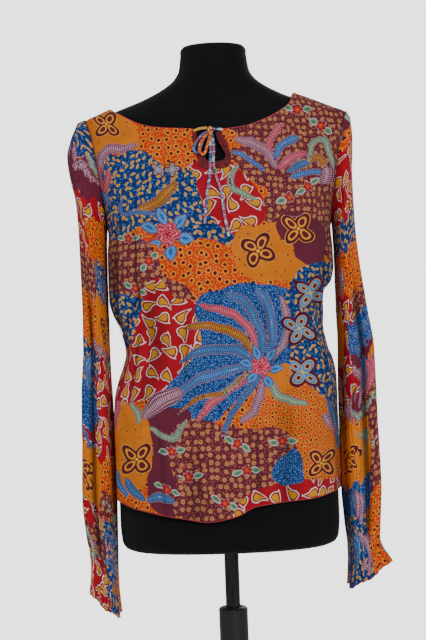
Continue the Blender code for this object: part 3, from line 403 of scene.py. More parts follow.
PLUMES_RIGHT = (
    ("mauve", 14, ((-44, 606), (-20, 584), (14, 572), (38, 552))),
    ("sage", 11, ((-10, 600), (10, 590), (40, 588))),
    ("sky", 12, ((6, 446), (22, 420), (24, 392))),
    ("mauve", 10, ((40, 440), (36, 416), (44, 396))),
    ("sage", 10, ((20, 320), (38, 306), (60, 300))),
    ("mauve", 14, ((-2, 330), (8, 316), (36, 310))),
    ("blue", 14, ((-16, 300), (-22, 270), (-14, 244))),
    ("pink", 10, ((-40, 300), (-44, 270), (-34, 244))),
    ("sky", 12, ((-36, 176), (-22, 168), (-6, 166))), ("sky", 12, ((8, 44), (24, 36), (40, 40))),
    ("mauve", 12, ((10, 24), (28, 14), (46, 22))), ("blue", 11, ((4, 8), (22, -4), (44, 0))),
    ("sage", 12, ((-30, 30), (-22, 4), (-28, -14))),
    ("gold", 12, ((14, -24), (26, -36), (40, -34))), ("pink", 9, ((-12, 28), (-8, 6), (-14, -12))),
)
PATCHES_LEFT = (
    ("maroon", ((-130, 585), (0, 580), (130, 588), (130, 680), (-130, 680))),
    ("plain", ((-42, 566), (-10, 560), (4, 640), (-16, 664), (-36, 636))),
    ("drops", ((-130, 462), (-10, 456), (130, 470), (130, 590), (20, 560), (-30, 576),
     (-130, 580))),
    ("seeds", ((-130, 424), (0, 418), (130, 428), (130, 474), (20, 462), (-130, 470))),
    ("daisies", ((-12, 308), (40, 314), (130, 308), (130, 350), (40, 344), (-8, 350))),
    ("drops", ((-130, 250), (-40, 256), (-8, 252), (-12, 300), (-6, 352), (-130, 346))),
    ("stipple", ((-10, 258), (50, 250), (130, 258), (130, 312), (60, 308), (-10, 314))),
    ("plain", ((-130, 254), (-40, 250), (-30, 330), (-130, 330))),
    ("maroon", ((-16, 180), (40, 172), (70, 190), (62, 256), (10, 262), (-16, 256))),
    ("plain", ((26, 216), (80, 208), (130, 214), (130, 260), (70, 256), (30, 258))),
    ("drops", ((-130, 180), (-40, 186), (-12, 180), (-14, 254), (-130, 252))),
    ("daisies", ((8, 60), (50, 52), (130, 60), (130, 212), (60, 200), (10, 206))),
    ("plain", ((-70, 70), (-20, 62), (14, 72), (18, 152), (-20, 162), (-70, 150))),
    ("drops", ((44, 20), (90, 14), (130, 22), (130, 120), (80, 126), (50, 90))),
    ("stipple", ((-66, 24), (-20, 30), (12, 24), (10, 76), (-30, 72), (-66, 78))),
    ("seeds", ((-130, -90), (-10, -90), (6, -30), (2, 28), (-60, 30), (-130, 26))),
    ("drops", ((52, -90), (130, -90), (130, 24), (80, 20), (46, 24), (56, -20))),
)
FLOWERS_LEFT = (
    ("gold", -22, 112, 24, 0), ("rose", 34, 120, 18, 20), ("rose", 84, 158, 18, -20),
    ("gold", 70, 236, 22, 15), ("rose", 60, 330, 17, 10), ("peony", -70, 440, 28, 0),
    ("rose", 36, 172, 17, -40), ("blue", -60, -20, 22, 10), ("gold", -86, 290, 22, 0),
)
PLUMES_LEFT = (
    ("sage", 13, ((34, 628), (44, 600), (40, 572))),
    ("mauve", 15, ((14, 640), (24, 606), (18, 580))),
    ("pink", 9, ((-40, 420), (-34, 396), (-44, 372))),
    ("mauve", 12, ((-30, 402), (-20, 378), (-26, 352))),
    ("blue", 12, ((-8, 300), (14, 290), (44, 300))),
    ("sky", 11, ((-8, 278), (18, 268), (46, 276))), ("gold", 9, ((40, 306), (50, 280), (44, 258))),
    ("mauve", 14, ((-6, 248), (6, 222), (0, 188))),
    ("pink", 11, ((14, 250), (26, 224), (20, 190))),
    ("blue", 10, ((4, 256), (14, 230), (10, 200))),
    ("sage", 11, ((-14, 186), (6, 172), (28, 182))),
    ("mauve", 13, ((-30, 204), (-20, 190), (-10, 164))),
    ("sage", 10, ((-6, 150), (8, 134), (4, 108))), ("sky", 11, ((-34, 70), (-20, 50), (-30, 26))),
    ("mauve", 11, ((-14, 66), (-4, 44), (-10, 20))),
    ("sky", 12, ((-30, 6), (-16, -20), (-26, -48))), ("sage", 11, ((36, 0), (44, -26), (38, -56))),
    ("mauve", 12, ((-8, 2), (4, -24), (-2, -56))),
)


def smooth(rows, key, column, at):
    """A column's values along the key column, on a curve that keeps within its rows."""
    keys, values = rows[key], rows[column]
    at = np.clip(at, keys[0], keys[-1])
    slopes = np.diff(values) / np.diff(keys)
    before, after = slopes[:-1], slopes[1:]
    same_way = before * after > 0
    inner = np.where(same_way, 2 * before * after / np.where(same_way, before + after, 1.0), 0.0)
    tangents = np.concatenate([slopes[:1], inner, slopes[-1:]])
    i = np.clip(np.searchsorted(keys, at, side="right") - 1, 0, len(keys) - 2)
    step = keys[i + 1] - keys[i]
    t = (at - keys[i]) / step
    return ((1 + 2 * t) * (1 - t) ** 2 * values[i] + t * (1 - t) ** 2 * step * tangents[i]
            + t * t * (3 - 2 * t) * values[i + 1] + t * t * (t - 1) * step * tangents[i + 1])


def blend(t):
    """0 to 1 with level ends."""
    t = np.clip(t, 0.0, 1.0)
    return t * t * (3 - 2 * t)


def curve_through(points, count, closed=False):
    """Points along a smooth curve through the given ones."""
    points = np.array(points, float)
    if closed:
        ends = np.concatenate([points[-1:], points, points[:2]])
        spans = len(points)
    else:
        ends = np.concatenate([2 * points[:1] - points[1:2], points, 2 * points[-1:] - points[-2:-1]])
        spans = len(points) - 1
    place = np.arange(count) * spans / (count if closed else count - 1)
    i = np.minimum(place.astype(int), spans - 1)
    t = (place - i)[:, None]
    a, b, c, d = (ends[i + k] for k in range(4))
    return 0.5 * (2 * b + (c - a) * t + (2 * a - 5 * b + 4 * c - d) * t * t
                  + (3 * b - a - 3 * c + d) * t ** 3)


# Surfaces of the cloth, as in the frame

def panel_side(height, side, front):
    """The x of a panel's side edge: its side seam, its armhole or the shoulder tip."""
    low = np.minimum(height, SHOULDER_TIP)
    half_width = np.where(side > 0, smooth(BODY, "height", "plus_x", low),
                          smooth(BODY, "height", "minus_x", low))
    depth = smooth(BODY, "height", "front" if front else "back", low)
    power = smooth(BODY, "height", "power", low)
    up = np.clip(2 * (height - ARMPIT) / (SHOULDER_TIP - ARMPIT) - 1, -1.0, 1.0)
    reach = (ARMHOLE_FRONT if front else ARMHOLE_BACK) * np.sqrt(1 - up * up)
    narrowed = half_width * (1 - (reach / depth) ** power) ** (1 / power)
    return np.where((height > ARMPIT) & (height < SHOULDER_TIP), narrowed, half_width)


def crease_out(share, height, front):
    """How far the main creases of the body move it out."""
    turn = np.degrees(np.arccos(np.clip(np.sign(share) * np.abs(share) ** (1 / SHARE_POWER), -1, 1)))
    angle = turn if front else 360 - turn
    out = np.zeros_like(angle)
    for low, height_low, high, height_high, half_angle, depth in zip(*BODY_FOLDS.values()):
        up = (height - height_low) / (height_high - height_low)
        away = (angle - low - (high - low) * up + 180) % 360 - 180
        ends = 1 - blend((np.abs(up - 0.5) - FOLD_LEVEL) / FOLD_FADE)
        if height_low < 0.1:
            ends = np.where(up < 0.5, 1.0, ends)
        out += depth * ends * np.exp(-(away / half_angle) ** 2)
    return out


def soft_folds(x, height, front):
    """For each soft crease: its depth, the half widths beside it, and how far from its middle."""
    x = x if front else -x
    for x_low, low, x_high, high, half_width, depth in zip(*SOFT_FOLDS.values()):
        up = (height - low) / (high - low)
        middle = x_low + (x_high - x_low) * up + SOFT_WANDER * np.sin(height * 70 + x_low * 90)
        yield depth, (x - middle) / half_width, np.abs(up - 0.5)


def soft_out(x, height, front):
    """Small soft creases and the uneven hang of thin cloth."""
    side = x if front else -x
    out = 0.0006 * np.sin(side * 61 + 2.1 * np.sin(height * 17)) * np.sin(
        height * 23 + side * 12 + 0.7)
    for depth, beside, from_middle in soft_folds(x, height, front):
        ends = 1 - blend((from_middle - FOLD_LEVEL) / SOFT_FADE)
        out = out + depth * ends * np.exp(-beside ** 2)
    return out


def crease_shade(x, height, front):
    """How much painted shade darkens the body's sharp creases, from 0 to 1."""
    shade = np.zeros_like(x)
    for depth, beside, from_middle in soft_folds(x, height, front):
        if depth < 0:
            ends = 1 - blend((from_middle - 0.25) / 0.27)
            line = np.exp(-(np.abs(beside) / 0.50) ** 1.5)
            shade = np.maximum(shade, line * ends * np.minimum(1.0, -depth / 0.0024))
    return shade


def body_skin(share, height, front, out=0.0, soft=True, creased=True):
    """Points of the body's inner skin, or of a skin moved out from it."""
    share, height = np.broadcast_arrays(np.asarray(share, float), np.asarray(height, float))
    half_width = np.where(share >= 0, smooth(BODY, "height", "plus_x", height),
                          smooth(BODY, "height", "minus_x", height))
    column = "front" if front else "back"
    depth, power = smooth(BODY, "height", column, height), smooth(BODY, "height", "power", height)
    x = share * panel_side(height, np.where(share >= 0, 1, -1), front)
    y = depth * np.maximum(0.0, 1 - (np.abs(x) / half_width) ** power) ** (1 / power)
    normal = np.stack([x / half_width ** 2, y / depth ** 2, np.zeros_like(x)], -1)
    normal /= np.linalg.norm(normal, axis=-1, keepdims=True)
    lean = (depth - smooth(BODY, "height", column, height + LEAN_STEP)) / LEAN_STEP
    normal[..., 2] = lean * np.maximum(0.3, normal[..., 1]) * blend((height - ARMPIT) / 0.030)
    normal /= np.linalg.norm(normal, axis=-1, keepdims=True)
    move = out + np.zeros_like(x)
    if creased:
        move = move + crease_out(share, height, front)
        if soft:
            move = move + soft_out(x, height, front)
    points = np.stack([x, y, height], -1) + normal * np.asarray(move)[..., None]
    points[..., 1] = np.maximum(points[..., 1], SEAM_GAP / 2) * (-1 if front else 1)
    points[..., 2] += FORM_FOOT
    return points


def front_points(rows, wall=CLOTH_WALL):
    """Points over the front from rows of x, height and distance from the panel's outer skin."""
    x, height, out = np.array(rows, float).T
    share = x / panel_side(height, np.where(x >= 0, 1, -1), True)
    return body_skin(share, height, True, wall + out, soft=False)


def top_height(share, front):
    """Where a column of a panel ends: at its shoulder seam or at the neck edge."""
    x = share * smooth(BODY, "height", "plus_x", SHOULDER_TIP)
    heights = np.linspace(SHOULDER_TIP, BODY["height"][-1], 800)
    ridge = np.interp(np.abs(x), smooth(BODY, "height", "plus_x", heights)[::-1], heights[::-1])
    neck = np.full_like(x, SHOULDER_TIP)
    for _ in range(6):
        neck = smooth(FRONT_NECK if front else BACK_NECK, "x", "height",
                      share * panel_side(neck, x, front))
    return np.where((x >= NECK_PLUS_X - 1e-6) | (x <= 1e-6 - NECK_MINUS_X), ridge, neck)


def column_shares(right, middle, left):
    """Where the columns of a panel run, with one at each neck point."""
    tip = float(smooth(BODY, "height", "plus_x", SHOULDER_TIP))
    neck_right = math.acos((NECK_PLUS_X / tip) ** (1 / SHARE_POWER))
    neck_left = math.pi - math.acos((NECK_MINUS_X / tip) ** (1 / SHARE_POWER))
    along = np.arange(middle) / middle
    nearer_ends = 0.5 - 0.5 * np.cos(np.pi * along)
    between = EVEN_COLUMNS * along + (1 - EVEN_COLUMNS) * nearer_ends
    turns = np.concatenate([
        neck_right * np.arange(right) / right,
        neck_right + (neck_left - neck_right) * between,
        neck_left + (math.pi - neck_left) * np.arange(left + 1) / left])
    return np.sign(np.cos(turns)) * np.abs(np.cos(turns)) ** SHARE_POWER


def panel_points(shares, hem, front, low_rows, high_rows, out=0.0, creased=True):
    """Rows of points of a body panel from the hem up."""
    low = smooth(hem, "share", "height", shares)
    lower = low + (ARMPIT - low) * (np.arange(low_rows) / low_rows)[:, None]
    up = 0.5 - 0.5 * np.cos(np.pi * np.arange(high_rows + 1) / high_rows)
    upper = ARMPIT + (top_height(shares, front) - ARMPIT) * up[:, None]
    heights = np.concatenate([lower, upper])
    return body_skin(shares[None, :], heights, front, out, creased=creased)


def sleeve_points(sections, side, turn, along, out):
    """Points of a sleeve's inner skin, or of a skin moved out from it."""
    turn, along = np.broadcast_arrays(np.asarray(turn, float), np.asarray(along, float))
    part = {name: smooth(sections, "along", name, along) for name in sections}
    outer = np.stack([part["outer"], 0 * along, part["outer_height"]], -1)
    inner = np.stack([part["inner"], 0 * along, part["inner_height"]], -1)
    half = (outer - inner) / 2
    sine, cosine = np.sin(turn), np.cos(turn)
    across = np.sign(sine) * np.abs(sine) ** SLEEVE_FULLNESS
    depth = np.where(cosine > 0, part["front"], part["back"])
    way = half / np.linalg.norm(half, axis=-1, keepdims=True) * sine[..., None]
    way[..., 1] = -cosine
    move = out + sleeve_fold_out(turn, along) + crinkle_out(turn, along, side)
    ripple = blend((along - CUFF_FROM) / (1 - CUFF_FROM)) * CUFF_RIPPLE
    wave = np.cos(CUFF_WAVES * turn)
    wave = wave + 0.30 * np.sin(22 * turn + 3 * side) * blend((along - 0.975) / 0.025)
    points = (outer + inner) / 2 + half * across[..., None] + way * (move + ripple * wave)[..., None]
    points[..., 1] -= np.sign(cosine) * np.abs(cosine) ** SLEEVE_FULLNESS * depth
    points[..., 0] *= side
    points[..., 2] += FORM_FOOT - CUFF_SCALLOP * ripple * wave
    return points


def sleeve_fold_out(turn, along):
    """How far the long folds of a sleeve move it out."""
    move = np.zeros_like(turn)
    for low, high, start, end, half_angle, fold_depth in zip(*SLEEVE_FOLDS.values()):
        share = (along - start) / (end - start)
        away = (np.degrees(turn) - high - (low - high) * share + 180) % 360 - 180
        ends = blend(share / SLEEVE_FADE_TOP)
        if end < 1.0:
            ends = ends * blend((1 - share) / SLEEVE_FADE_END)
        move = move + fold_depth * ends * np.exp(-(away / half_angle) ** 2)
    return move


def crinkle_phase(turn, along, side):
    """Turns of the crinkles round a sleeve, wandering as they run down it."""
    return (CRINKLES * turn + 2.2 * np.sin(along * 31 + 2 * turn + side)
            + 1.3 * np.sin(along * 83 + 5 * turn) + 0.9 * np.sin(7 * turn + 4 * side))


def crinkle_strength(turn, along, side):
    """How strongly a sleeve is crinkled, less beside the body."""
    uneven = 0.70 + 0.30 * np.sin(along * 23 + 3 * turn + 2 * side)
    return uneven * blend(along / 0.05) * (0.40 + 0.60 * blend((np.sin(turn) + 1) / 0.8))


def crinkle_out(turn, along, side):
    """The uneven lengthwise crinkles of a sleeve."""
    phase = crinkle_phase(turn, along, side)
    sharp = np.abs(np.sin(phase / 2)) - 0.6
    return CRINKLE_DEPTH * sharp * crinkle_strength(turn, along, side)


def crinkle_print(turn, along, side):
    """The flat cloth's turn at a sleeve's point, and how much painted shade darkens it deep in a crease,
    from 0 to 1.
    """
    phase = crinkle_phase(turn, along, side)
    steps = phase + 2 * np.arctan2(TAKEN_IN * np.sin(phase), 1 - TAKEN_IN * np.cos(phase))
    flat_turn = turn + (GATHER - 1) * steps / CRINKLES
    # Painted shade in the crinkles' valleys and in the deep folds
    valley = np.clip(1 - np.abs(np.sin(phase / 2)) / 0.45, 0, 1) * crinkle_strength(turn, along, side)
    fold = np.clip(-sleeve_fold_out(turn, along) / 0.007, 0, 1) ** 2
    return flat_turn, np.maximum(0.75 * valley, fold), np.floor(phase / (2 * math.pi))


def armhole_ring(side, turns, out, raised):
    """Points round an armhole, moved out, and raised over the shoulder seam."""
    sine, reach = np.sin(turns), np.full_like(turns, side)
    height = ARMPIT + (SHOULDER_TIP - ARMPIT) * (0.5 + 0.5 * sine)
    ring = np.where((np.cos(turns) >= 0)[:, None],
                    body_skin(reach, height, True, out, soft=False),
                    body_skin(reach, height, False, out, soft=False))
    ring[:, 2] += raised * np.maximum(0.0, sine) ** 12
    return ring


def sleeve_rows(sections, side, turns, rows, out):
    """Rows of points of a sleeve from the armhole down."""
    under_arm = (CLOTH_WALL + SEAM_GAP) * np.maximum(0.0, -np.sin(turns))
    ring = armhole_ring(side, turns, CLOTH_WALL + SLEEVE_GAP + under_arm + out,
                        CLOTH_WALL + SEAM_GAP)
    head = sleeve_points(sections, side, turns, np.zeros_like(turns), out)
    joined = np.array([ring + (head - ring) * k / HEAD_ROWS for k in range(HEAD_ROWS)])
    along = (np.arange(rows + 1) / rows)[:, None] ** RING_SPACING
    return np.concatenate([joined, sleeve_points(sections, side, turns[None, :], along, out)])


# The print, laid on the cloth as distances to listed shapes

def inside_distance(outline, across, up):
    """Distance to a closed outline, negative inside it."""
    nearest = np.full(across.shape, 1e9)
    inside = np.zeros(across.shape, bool)
    for (ax, az), (bx, bz) in zip(outline, np.roll(outline, -1, axis=0)):
        dx, dz = bx - ax, bz - az
        t = np.clip(((across - ax) * dx + (up - az) * dz) / (dx * dx + dz * dz + 1e-9), 0, 1)
        nearest = np.minimum(nearest, (across - ax - t * dx) ** 2 + (up - az - t * dz) ** 2)
        crosses = (az > up) != (bz > up)
        inside ^= crosses & (across < ax + (up - az) * dx / (dz if dz else 1e-9))
    return np.where(inside, -1.0, 1.0) * np.sqrt(nearest)


def print_fields(across, up, patches, flowers, plumes, painted_shade):
    """What the print's material reads at points of the cloth."""
    across = across + 1.6 * np.sin(up / 13) + 0.8 * np.sin(up / 5.1 + across / 9)
    up = up + 1.6 * np.sin(across / 11 + 2) + 0.8 * np.sin(across / 4.7 - up / 8)
    grounds = {kind: np.full(across.shape, 30.0) for kind in GROUNDS}
    for kind, points in patches:
        distance = inside_distance(curve_through(points, 4 * len(points), closed=True), across, up)
        for other in GROUNDS:
            if other == kind:
                grounds[other] = np.minimum(grounds[other], distance)
            else:
                grounds[other] = np.maximum(grounds[other], -distance)
    flower = np.full((*across.shape, 3), 9.0)
    for kind, x, z, radius, turn in flowers:
        c, s = math.cos(math.radians(turn)) / radius, math.sin(math.radians(turn)) / radius
        u, v = c * (across - x) + s * (up - z), c * (up - z) - s * (across - x)
        reach = np.hypot(u, v)
        nearer = reach < np.maximum(FLOWER_REACH, np.hypot(flower[..., 0], flower[..., 1]))
        nearer |= reach < FLOWER_REACH
        flower = np.where(nearer[..., None], np.stack([u, v, 0 * u + FLOWER_KINDS.index(kind)], -1),
                          flower)
    plume = np.full((*across.shape, 3), 9.0)
    for kind, width, points in plumes:
        line = curve_through(points, 6 * len(points))
        steps = np.linalg.norm(np.diff(line, axis=0), axis=1)
        reached = np.concatenate([[0.0], np.cumsum(steps)])
        best = np.full(across.shape, 1e9)
        found = np.zeros((*across.shape, 2))
        for (a, b, start, step) in zip(line, line[1:], reached, steps):
            way = (b - a) / step
            dx, dz = across - a[0], up - a[1]
            t = np.clip(dx * way[0] + dz * way[1], 0.0, step)
            off = np.hypot(dx - t * way[0], dz - t * way[1])
            here = np.stack([off, start + t], -1)
            found = np.where((off < best)[..., None], here, found)
            best = np.minimum(best, off)
        share = found[..., 1] / reached[-1]
        half = width / 2 * (0.10 + 1.15 * np.sqrt(np.maximum(share * (1 - share), 0.0)) * 1.6) + 0.2
        u = found[..., 0] / np.minimum(half, width / 2)
        chosen = (u < 1.05) | (u < plume[..., 0])
        plume = np.where(chosen[..., None],
                         np.stack([u, found[..., 1], 0 * u + PLUME_KINDS.index(kind)], -1), plume)
    return {
        "ground_a": np.stack([grounds[kind] for kind in GROUNDS[0:3]], -1),
        "ground_b": np.stack([grounds[kind] for kind in GROUNDS[3:6]], -1),
        "ground_c": np.stack([grounds[GROUNDS[6]], painted_shade,
                              np.hypot(flower[..., 0], flower[..., 1])], -1),
        "flower": np.clip(flower, -9, 9),
        "plume": np.stack([np.minimum(plume[..., 0], 4), plume[..., 1], plume[..., 2]], -1),
    }


def seen_from_front(points):
    """Where points show from the camera, in the print's millimetres."""
    nearer = CAMERA_BACK / (CAMERA_BACK + points[..., 1])
    across = EYE_X + (points[..., 0] - EYE_X) * nearer
    up = EYE_HEIGHT + (points[..., 2] - EYE_HEIGHT) * nearer - FORM_FOOT
    return across * 1000, up * 1000


def flat_places(points, middle_column):
    """Flat cut coordinates of rows of points: round from a column, and up from the edge."""
    along = np.linalg.norm(np.diff(points, axis=1), axis=-1)
    round_it = np.concatenate([np.zeros((len(points), 1)), np.cumsum(along, axis=1)], axis=1)
    round_it -= round_it[:, middle_column:middle_column + 1]
    rise = np.linalg.norm(np.diff(points, axis=0), axis=-1)
    up = np.concatenate([np.zeros((1, points.shape[1])), np.cumsum(rise, axis=0)])
    up += points[:1, :, 2] - FORM_FOOT
    return round_it, up


# Pieces

def clear_selection():
    """Nothing selected."""
    for obj in bpy.context.selected_objects:
        obj.select_set(False)


def make_current(obj):
    """This object alone selected and active."""
    clear_selection()
    obj.select_set(True)
    bpy.context.view_layer.objects.active = obj


def apply_all(obj):
    """Applies an object's modifiers in turn."""
    make_current(obj)
    for modifier in list(obj.modifiers):
        bpy.ops.object.modifier_apply(modifier=modifier.name)


def woven(name, points, flat, fields, closed=False, thickness=SKIN):
    """A thin cloth over rows of points, with its flat cut as a UV map and its print as attributes."""
    rows, columns = points.shape[:2]
    clear_selection()
    bpy.ops.mesh.primitive_grid_add(x_subdivisions=columns - 1, y_subdivisions=rows - 1, size=1.0)
    obj = bpy.context.object
    obj.name = obj.data.name = name
    mesh = obj.data
    place = np.empty(len(mesh.vertices) * 3)
    mesh.vertices.foreach_get("co", place)
    place = place.reshape(-1, 3)
    column = np.rint((place[:, 0] + 0.5) * (columns - 1)).astype(int)
    row = np.rint((place[:, 1] + 0.5) * (rows - 1)).astype(int)
    mesh.vertices.foreach_set("co", points[row, column].ravel())
    corner = np.empty(len(mesh.loops), int)
    mesh.loops.foreach_get("vertex_index", corner)
    cut = mesh.uv_layers[0]
    cut.name = "cut"
    flat = np.stack(flat, -1)[row[corner], column[corner]]
    cut.data.foreach_set("uv", flat.astype(np.float32).ravel())
    for key, values in fields.items():
        attribute = mesh.attributes.new(key, "FLOAT_VECTOR", "CORNER")
        values = values[row[corner], column[corner]].astype(np.float32)
        attribute.data.foreach_set("vector", values.ravel())
    bm = bmesh.new()
    bm.from_mesh(mesh)
    if closed:
        bmesh.ops.remove_doubles(bm, verts=bm.verts, dist=1e-6)
    middle = points.mean(axis=(0, 1)) if closed else np.array([0.0, 0.0, points[..., 2].mean()])
    bm.normal_update()
    middle = Vector(middle)
    outward = sum(face.normal.dot(face.calc_center_median() - middle) * face.calc_area()
                  for face in bm.faces)
    if outward < 0:
        bmesh.ops.reverse_faces(bm, faces=bm.faces)
    bm.to_mesh(mesh)
    bm.free()
    if thickness:
        wall = obj.modifiers.new("wall", "SOLIDIFY")
        wall.thickness, wall.offset = thickness, 1.0
        apply_all(obj)
    mesh.shade_smooth()
    return obj


def tube(name, points, radius, closed=False, keep_curve=False, sides=2):
    """A round string or edge along points."""
    curve = bpy.data.curves.new(name, "CURVE")
    curve.dimensions = "3D"
    curve.bevel_depth, curve.bevel_resolution = radius, sides
    curve.use_fill_caps = not closed
    spline = curve.splines.new("POLY")
    spline.points.add(len(points) - 1)
    spline.points.foreach_set("co", np.concatenate([points, np.ones((len(points), 1))], 1).ravel())
    spline.use_cyclic_u = closed
    spline.use_smooth = True
    obj = bpy.data.objects.new(name, curve)
    bpy.context.scene.collection.objects.link(obj)
    if not keep_curve:
        make_current(obj)
        bpy.ops.object.convert(target="MESH")
        obj = bpy.context.object
    return obj


def dress(piece, material, slot, *nodes):
    """Gives a piece on the form its finish, and hides the frame's nodes that it stands for."""
    piece.data.materials.clear()
    piece.data.materials.append(material)
    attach(piece, "form")
    if nodes:
        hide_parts(*nodes)


# Materials

def linear(code):
    """A colour from its sRGB hex code."""
    parts = [int(code[i:i + 2], 16) / 255 for i in (1, 3, 5)]
    return (*(c / 12.92 if c <= 0.04045 else ((c + 0.055) / 1.055) ** 2.4 for c in parts), 1.0)


def feed(node, inputs):
    """Sets a node's inputs to values or hex colours, or links them to nodes or sockets."""
    for key, value in inputs.items():
        if isinstance(value, bpy.types.Node):
            value = value.outputs[0]
        if isinstance(value, bpy.types.NodeSocket):
            node.id_data.links.new(value, node.inputs[key])
        else:
            node.inputs[key].default_value = linear(value) if isinstance(value, str) else value


def add_node(tree, kind, *inputs, stops=(), **settings):
    """A node with its settings and links. Its kind may be followed by its operation, and its inputs
    come in order, or by name in one dictionary."""
    kind, *operation = kind.split()
    node = tree.nodes.new("ShaderNode" + kind)
    for name, value in (*settings.items(), *(("operation", name) for name in operation)):
        setattr(node, name, value)
    feed(node, inputs[0] if inputs and isinstance(inputs[0], dict) else dict(enumerate(inputs)))
    if stops:
        ramp = node.color_ramp
        ramp.interpolation = "CONSTANT"
        ramp.elements.remove(ramp.elements[1])
        ramp.elements[0].position, ramp.elements[0].color = stops[0][0], linear(stops[0][1])
        for place, code in stops[1:]:
            ramp.elements.new(place).color = linear(code)
    return node


def new_material(name, **values):
    """A material, the function that adds nodes to it, and its shader with the shader's own values."""
    material = bpy.data.materials.new(name)
    material.use_nodes = True
    shader = material.node_tree.nodes["Principled BSDF"]
    feed(shader, {key.replace("_", " "): value for key, value in values.items()})
    return material, partial(add_node, material.node_tree), shader


def over(add, below, mask, above):
    """Paints one colour over another where the mask is 1."""
    return add("Mix", {0: mask, 6: below, 7: above}, data_type="RGBA").outputs[2]


def strewn(add, drawn, pitch, randomness):
    """Points strewn a pitch apart, with the distance from the nearest in pitches."""
    return add("TexVoronoi", {"Vector": drawn, "Scale": 1 / pitch, "Randomness": randomness},
               voronoi_dimensions="2D", feature="F1")


def turned_place(add, drawn, cells, turn):
    """Places in mm from the nearest of strewn points, each turned its own way."""
    local = add("VectorMath SUBTRACT", drawn, cells.outputs["Position"])
    own = add("SeparateColor", cells.outputs["Color"])
    return add("VectorRotate", {"Vector": local, "Angle": add("Math MULTIPLY", own, turn)},
               rotation_type="Z_AXIS")


def ringed_dots(add, drawn, pitch, core, ground, speck):
    """Dark dots in gold rings, a pitch apart, with gold specks between."""
    dots = strewn(add, drawn, pitch, 0.62)
    paint = add("ValToRGB", dots, stops=(
        (0.0, core), (0.185, ground), (0.215, "#f0a818"), (0.325, ground)))
    specks = add("Math LESS_THAN", strewn(add, drawn, pitch / 3.1, 0.9), 0.24)
    clear = add("Math GREATER_THAN", dots, 0.40)
    return over(add, paint, add("Math MULTIPLY", specks, clear), speck)


def daisies(add, drawn):
    """Round tan daisies on maroon, 11 mm apart, with buds between."""
    cells = strewn(add, drawn, 11.0, 0.5)
    x, y, _ = add("SeparateXYZ", add("VectorMath SUBTRACT", drawn, cells.outputs["Position"])).outputs
    petals = add("Math COSINE", add("Math MULTIPLY", add("Math ARCTAN2", y, x), 8.0))
    size = add("Math DIVIDE", cells, add("Math MULTIPLY_ADD", petals, 0.030, 0.30))
    daisy = add("ValToRGB", add("Math MULTIPLY", size, 0.5), stops=(
        (0.0, "#5a1626"), (0.11, "#dca066"), (0.20, "#7c3530"), (0.27, "#cf8a54"), (0.50, "#6a2236")))
    buds = add("Math LESS_THAN", strewn(add, drawn, 4.9, 0.7), 0.19)
    clear = add("Math GREATER_THAN", size, 1.35)
    return over(add, daisy, add("Math MULTIPLY", buds, clear), "#b06a44")


def golden_drops(add, drawn):
    """Ribbed golden drops on crimson, 26 mm apart, edged in green and ringed in white."""
    cells = strewn(add, drawn, 26.0, 0.45)
    x, y, _ = add("SeparateXYZ", turned_place(add, drawn, cells, 9.0)).outputs
    along = add("Math ADD", x, 4.0)
    # The pointed end is bent to one side
    aside = add("Math MULTIPLY_ADD", add("Math MULTIPLY", along, along), -0.040, y)
    round_end = add("VectorMath LENGTH", add("CombineXYZ", along, aside, 0.0)).outputs["Value"]
    taper = add("Math MULTIPLY_ADD", add("Math ABSOLUTE", aside), 0.90,
                add("Math MULTIPLY_ADD", along, 0.43, -6.2))
    point = add("Math MAXIMUM", taper, add("Math MULTIPLY", along, -1.0))
    far = add("Math MINIMUM", add("Math SUBTRACT", round_end, 6.2), point)
    # The white ring runs nearer on one side
    ring = add("Math MULTIPLY_ADD", aside, 0.11, far)
    ground = add("ValToRGB", add("Math MULTIPLY_ADD", ring, 1 / 16, 0.5), stops=(
        (0.0, "#b00f22"), (0.54, "#ece4e6"), (0.635, "#b00f22")))
    body = add("ValToRGB", add("Math MULTIPLY_ADD", far, 1 / 16, 0.5), stops=(
        (0.0, "#eca01c"), (0.415, "#2f3f2a"), (0.47, "#b00f22")))
    ribs = add("Math GREATER_THAN", add("Math SINE", add("Math MULTIPLY", x, 3.6)), 0.45)
    heart = add("Math LESS_THAN", far, -1.9)
    body = over(add, body, add("Math MULTIPLY", ribs, heart), "#c97a14")
    return over(add, ground, add("Math LESS_THAN", far, 0.0), body)


def gold_seeds(add, drawn):
    """Gold seeds edged in pale and navy blue on royal blue, 10.5 mm apart, with strokes between."""
    paint = None
    for pitch, turn, scale, stops in (
            (6.5, 6.0, (1.1, 0.36, 0.0), ((0.0, "#4f86c0"), (0.36, "#153f86"), (0.75, "#103070"))),
            (10.5, 3.3, (0.215, 0.43, 0.0), ((0.0, "#e09a24"), (0.40, "#c8b48a"), (0.44, "#3a6cac"),
                                             (0.54, "#0a1c44"), (0.66, "#103070")))):
        place = turned_place(add, drawn, strewn(add, drawn, pitch, 0.8), turn)
        size = add("VectorMath LENGTH", add("VectorMath MULTIPLY", place, scale)).outputs["Value"]
        size = add("Math MULTIPLY", size, 0.5)
        layer = add("ValToRGB", size, stops=stops)
        paint = over(add, paint, add("Math LESS_THAN", size, 0.66), layer) if paint else layer
    return paint


def stippled(add, drawn):
    """Pale and navy stipple on blue, 3.4 mm apart."""
    pale = add("ValToRGB", strewn(add, drawn, 3.4, 0.75), stops=((0.0, "#86b0dc"), (0.21, "#184a94")))
    waves = add("TexNoise", {"Vector": drawn, "Scale": 1 / 9, "Detail": 1.0}, noise_dimensions="2D")
    deep = add("ValToRGB", waves, stops=((0.0, "#000000"), (0.50, "#ffffff"), (0.56, "#000000")))
    return over(add, pale, deep, "#102c66")


def speckled_orange(add, drawn):
    """Plain orange with a few ringed specks."""
    return add("ValToRGB", strewn(add, drawn, 17.0, 1.0), stops=(
        (0.0, "#641426"), (0.075, "#f0a030"), (0.10, "#e07a12")))


